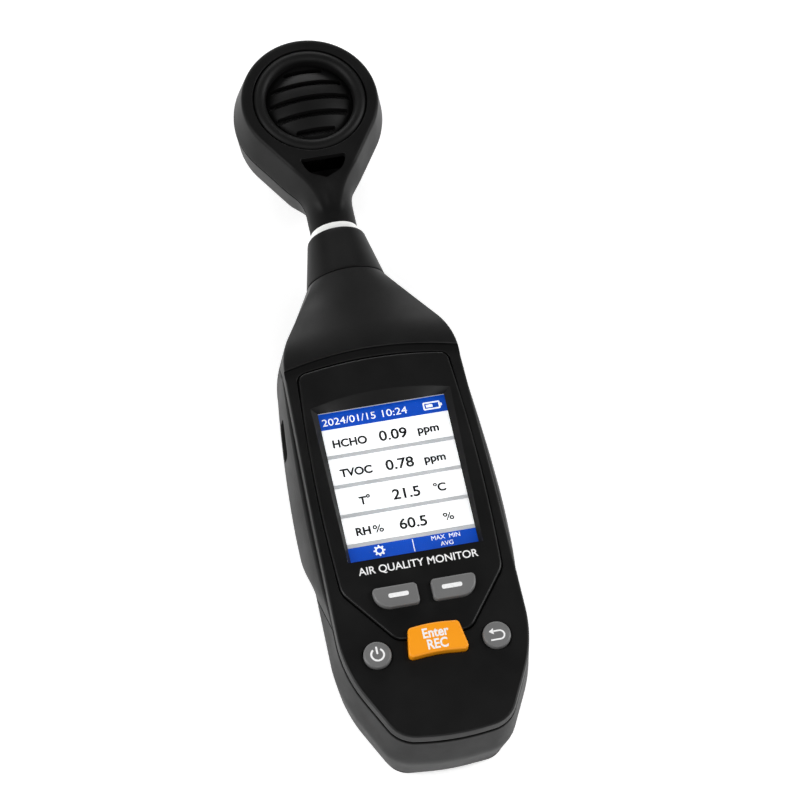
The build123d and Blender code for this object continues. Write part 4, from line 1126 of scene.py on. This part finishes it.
screen_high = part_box("display_module")[1]
bezel_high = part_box("display_bezel")[1]
INK = 0.02
SCREEN_EDGE_X = 17.83    # the picture runs a little under the bezel
SCREEN_TOP = -9.3
SCREEN_BOTTOM = -52.9
SCREEN_OVERLAP = 0.4
TOP_BAR = 4.5
BOTTOM_BAR = 3.9
ROWS_TOP = SCREEN_TOP - TOP_BAR
ROWS_BOTTOM = SCREEN_BOTTOM + BOTTOM_BAR
READINGS = [("HCHO", "0.09", "ppm"), ("TVOC", "0.78", "ppm"), ("T", "21.5", "C"), ("RH", "60.5", "")]
ROW_PITCH = (ROWS_TOP - ROWS_BOTTOM) / len(READINGS)
ROW_GAP = 1.25
BLOCK_ROUND = 0.05
SCREEN_LEVEL = screen_high.z / MM - 0.17
LABEL_X = -10.4
VALUE_X = 1.6
UNIT_X = 11.3
LABEL_HEIGHT = 2.25
VALUE_HEIGHT = 2.95


def bar(marks, x0, y0, x1, y1, radius=BLOCK_ROUND, steps=5):
    marks.outline([rounded_box(x0, y0, x1, y1, radius, steps)])


def ring(marks, x, y, outer, inner):
    marks.outline([arc(x, y, outer, 0, 345, 16), arc(x, y, inner, 0, 345, 16)])


def make_screen_blocks():
    """Two blue bars and four white rows with the grey screen between them."""
    x = SCREEN_EDGE_X
    bars = Marks(SCREEN_LEVEL, 2 * INK)
    bar(bars, -x, ROWS_TOP, x, SCREEN_TOP + SCREEN_OVERLAP, steps=1)
    bar(bars, -x, SCREEN_BOTTOM - SCREEN_OVERLAP, x, ROWS_BOTTOM, steps=1)
    bars.join("screen_bars", SCREEN_BLUE, "meter", "screen")
    rows = Marks(SCREEN_LEVEL, 2 * INK)
    for row in range(len(READINGS)):
        high = ROWS_TOP - row * ROW_PITCH
        bar(rows, -x, high - ROW_PITCH + ROW_GAP, x, high, steps=1)
    rows.join("screen_rows", SCREEN_WHITE, "meter", "screen")


def make_readings():
    """Dark label, value and unit in each row; degree rings and percent signs are drawn."""
    dark = Marks(SCREEN_LEVEL + 2 * INK, INK)
    for row, (label, value, unit) in enumerate(READINGS):
        middle = ROWS_TOP - (row + 0.5) * ROW_PITCH
        label_x = LABEL_X - 1.7 if label == "RH" else LABEL_X
        dark.text(label, label_x, middle, LABEL_HEIGHT, bold=0.115)
        dark.text(value, VALUE_X, middle + 0.2, VALUE_HEIGHT, bold=0.09, stretch=1.08)
        if unit:
            dark.text(unit, UNIT_X, middle + 0.2, LABEL_HEIGHT, bold=0.11, stretch=1.06)
        if label == "T":
            ring(dark, LABEL_X + 1.6, middle + 1.05, 0.55, 0.2)
            ring(dark, UNIT_X - 1.7, middle + 1.05, 0.55, 0.2)
        if label == "RH":
            dark.percent(LABEL_X + 2.4, middle, LABEL_HEIGHT)
            dark.percent(UNIT_X, middle + 0.2, LABEL_HEIGHT)
    dark.join("screen_readings", SCREEN_BLACK, "meter", "screen")


def make_screen_symbols():
    """Date, time and battery in the top bar, a gear and key captions in the bottom bar."""
    pale = Marks(SCREEN_LEVEL + 2 * INK, INK)
    y = SCREEN_TOP - TOP_BAR / 2
    pale.text("2024/01/15", -9.2, y, 2.05, stretch=1.12)
    pale.text("10:24", 3.1, y, 2.05, stretch=1.17)
    case = rounded_box(11.3, y - 1.15, 16.0, y + 1.15, 0.35)
    pale.outline([case, rounded_box(11.7, y - 0.75, 15.6, y + 0.75, 0.1)])
    bar(pale, 12.1, y - 0.4, 13.9, y + 0.4)
    bar(pale, 16.0, y - 0.4, 16.5, y + 0.4, 0.1)
    x, y = -9, SCREEN_BOTTOM + BOTTOM_BAR / 2
    gear = []
    for middle in range(0, 360, 45):
        gear += arc(x, y, 1.15, middle - 22, middle - 11, 2)
        gear += arc(x, y, 1.6, middle - 7, middle + 7, 2)
        gear += arc(x, y, 1.15, middle + 11, middle + 22, 2)
    pale.outline([gear, arc(x, y, 0.75, 0, 350, 20)])
    bar(pale, 0.2, SCREEN_BOTTOM, 0.4, ROWS_BOTTOM - 0.3, steps=1)
    pale.text("MAX  MIN", 9.3, y + 0.95, 1.25)
    pale.text("AVG", 9.3, y - 1.0, 1.25)
    pale.join("screen_symbols", SCREEN_WHITE, "meter", "screen")


def key_marks(name):
    return Marks(KEYS[name][1], INK)


def make_print():
    """White printing on the bezel and the keys."""
    title = Marks(bezel_high.z / MM, INK)
    title.text("AIR QUALITY MONITOR", 0, -57.4, 2.15, bold=0.035, stretch=0.97)
    title.join("bezel_title", PRINT_WHITE, "meter", "bezel_plastic")

    for side, body in ((-1, "left_softkey"), (1, "right_softkey")):
        dash = key_marks("softkey_left")
        inner, outer = sorted((side * 4.5, side * 10.0))
        bar(dash, inner, -66.75, outer, -65.5, 0.5)
        dash.join(body + "_dash", PRINT_WHITE, body, "key_grey")

    enter = key_marks("enter_key")
    enter.text("Enter", 0, -78.3, 2.7, bold=0.1, stretch=0.83)
    enter.text("REC", 0, -81.6, 2.7, bold=0.1, stretch=0.82)
    enter.join("enter_print", PRINT_WHITE, "enter_button", "key_orange")

    power = key_marks("power_key")
    x, y = -ROUND_KEY_X, ROUND_KEY_Y
    power.outline([band(x, y - 0.1, 1.7, 0.52, 125, 415)])
    bar(power, x - 0.26, y, x + 0.26, y + 2.2, 0.25)
    power.join("power_symbol", PRINT_WHITE, "power_button", "key_grey")

    back = key_marks("back_key")
    x = ROUND_KEY_X
    shaft = [(x - 0.9, y + 1.1), *arc(x + 0.7, y - 0.35, 1.45, 90, -90), (x - 1.9, y - 1.8)]
    shaft += [(x - 1.9, y - 1.35), *arc(x + 0.7, y - 0.35, 1.0, -90, 90), (x - 0.9, y + 0.65)]
    back.outline([shaft])
    back.outline([[(x - 0.8, y + 1.75), (x - 0.8, y), (x - 2.1, y + 0.87)]])
    back.join("back_symbol", PRINT_WHITE, "back_button", "key_grey")


def make_floor():
    """Plain pale paper just under the object; its own light whitens it and the sides above it."""
    mesh = bpy.data.meshes.new("floor")
    half = FLOOR_SIZE / 2
    level = cad_low.z - FLOOR_GAP
    corners = [(x * half, y * half, level) for x, y in ((-1, -1), (1, -1), (1, 1), (-1, 1))]
    mesh.from_pydata(corners, [], [(0, 1, 2, 3)])
    floor = add_object("floor", mesh)
    shader = Shader("floor_paper")
    shader.tint((0.86, 0.86, 0.86), (0.9, 0.9, 0.9), shader.blotches(300, 3))
    shader.rough(0.75, 0.85, 20, 3)
    shader.set(Emission_Color=(1, 1, 1, 1), Emission_Strength=FLOOR_GLOW)
    mesh.materials.append(shader.material)


bpy.context.scene.view_settings.view_transform = "Standard"
make_camera()
make_light()
make_floor()
finish_nodes()
make_body()
make_head()
make_screen_blocks()
make_readings()
make_screen_symbols()
make_print()
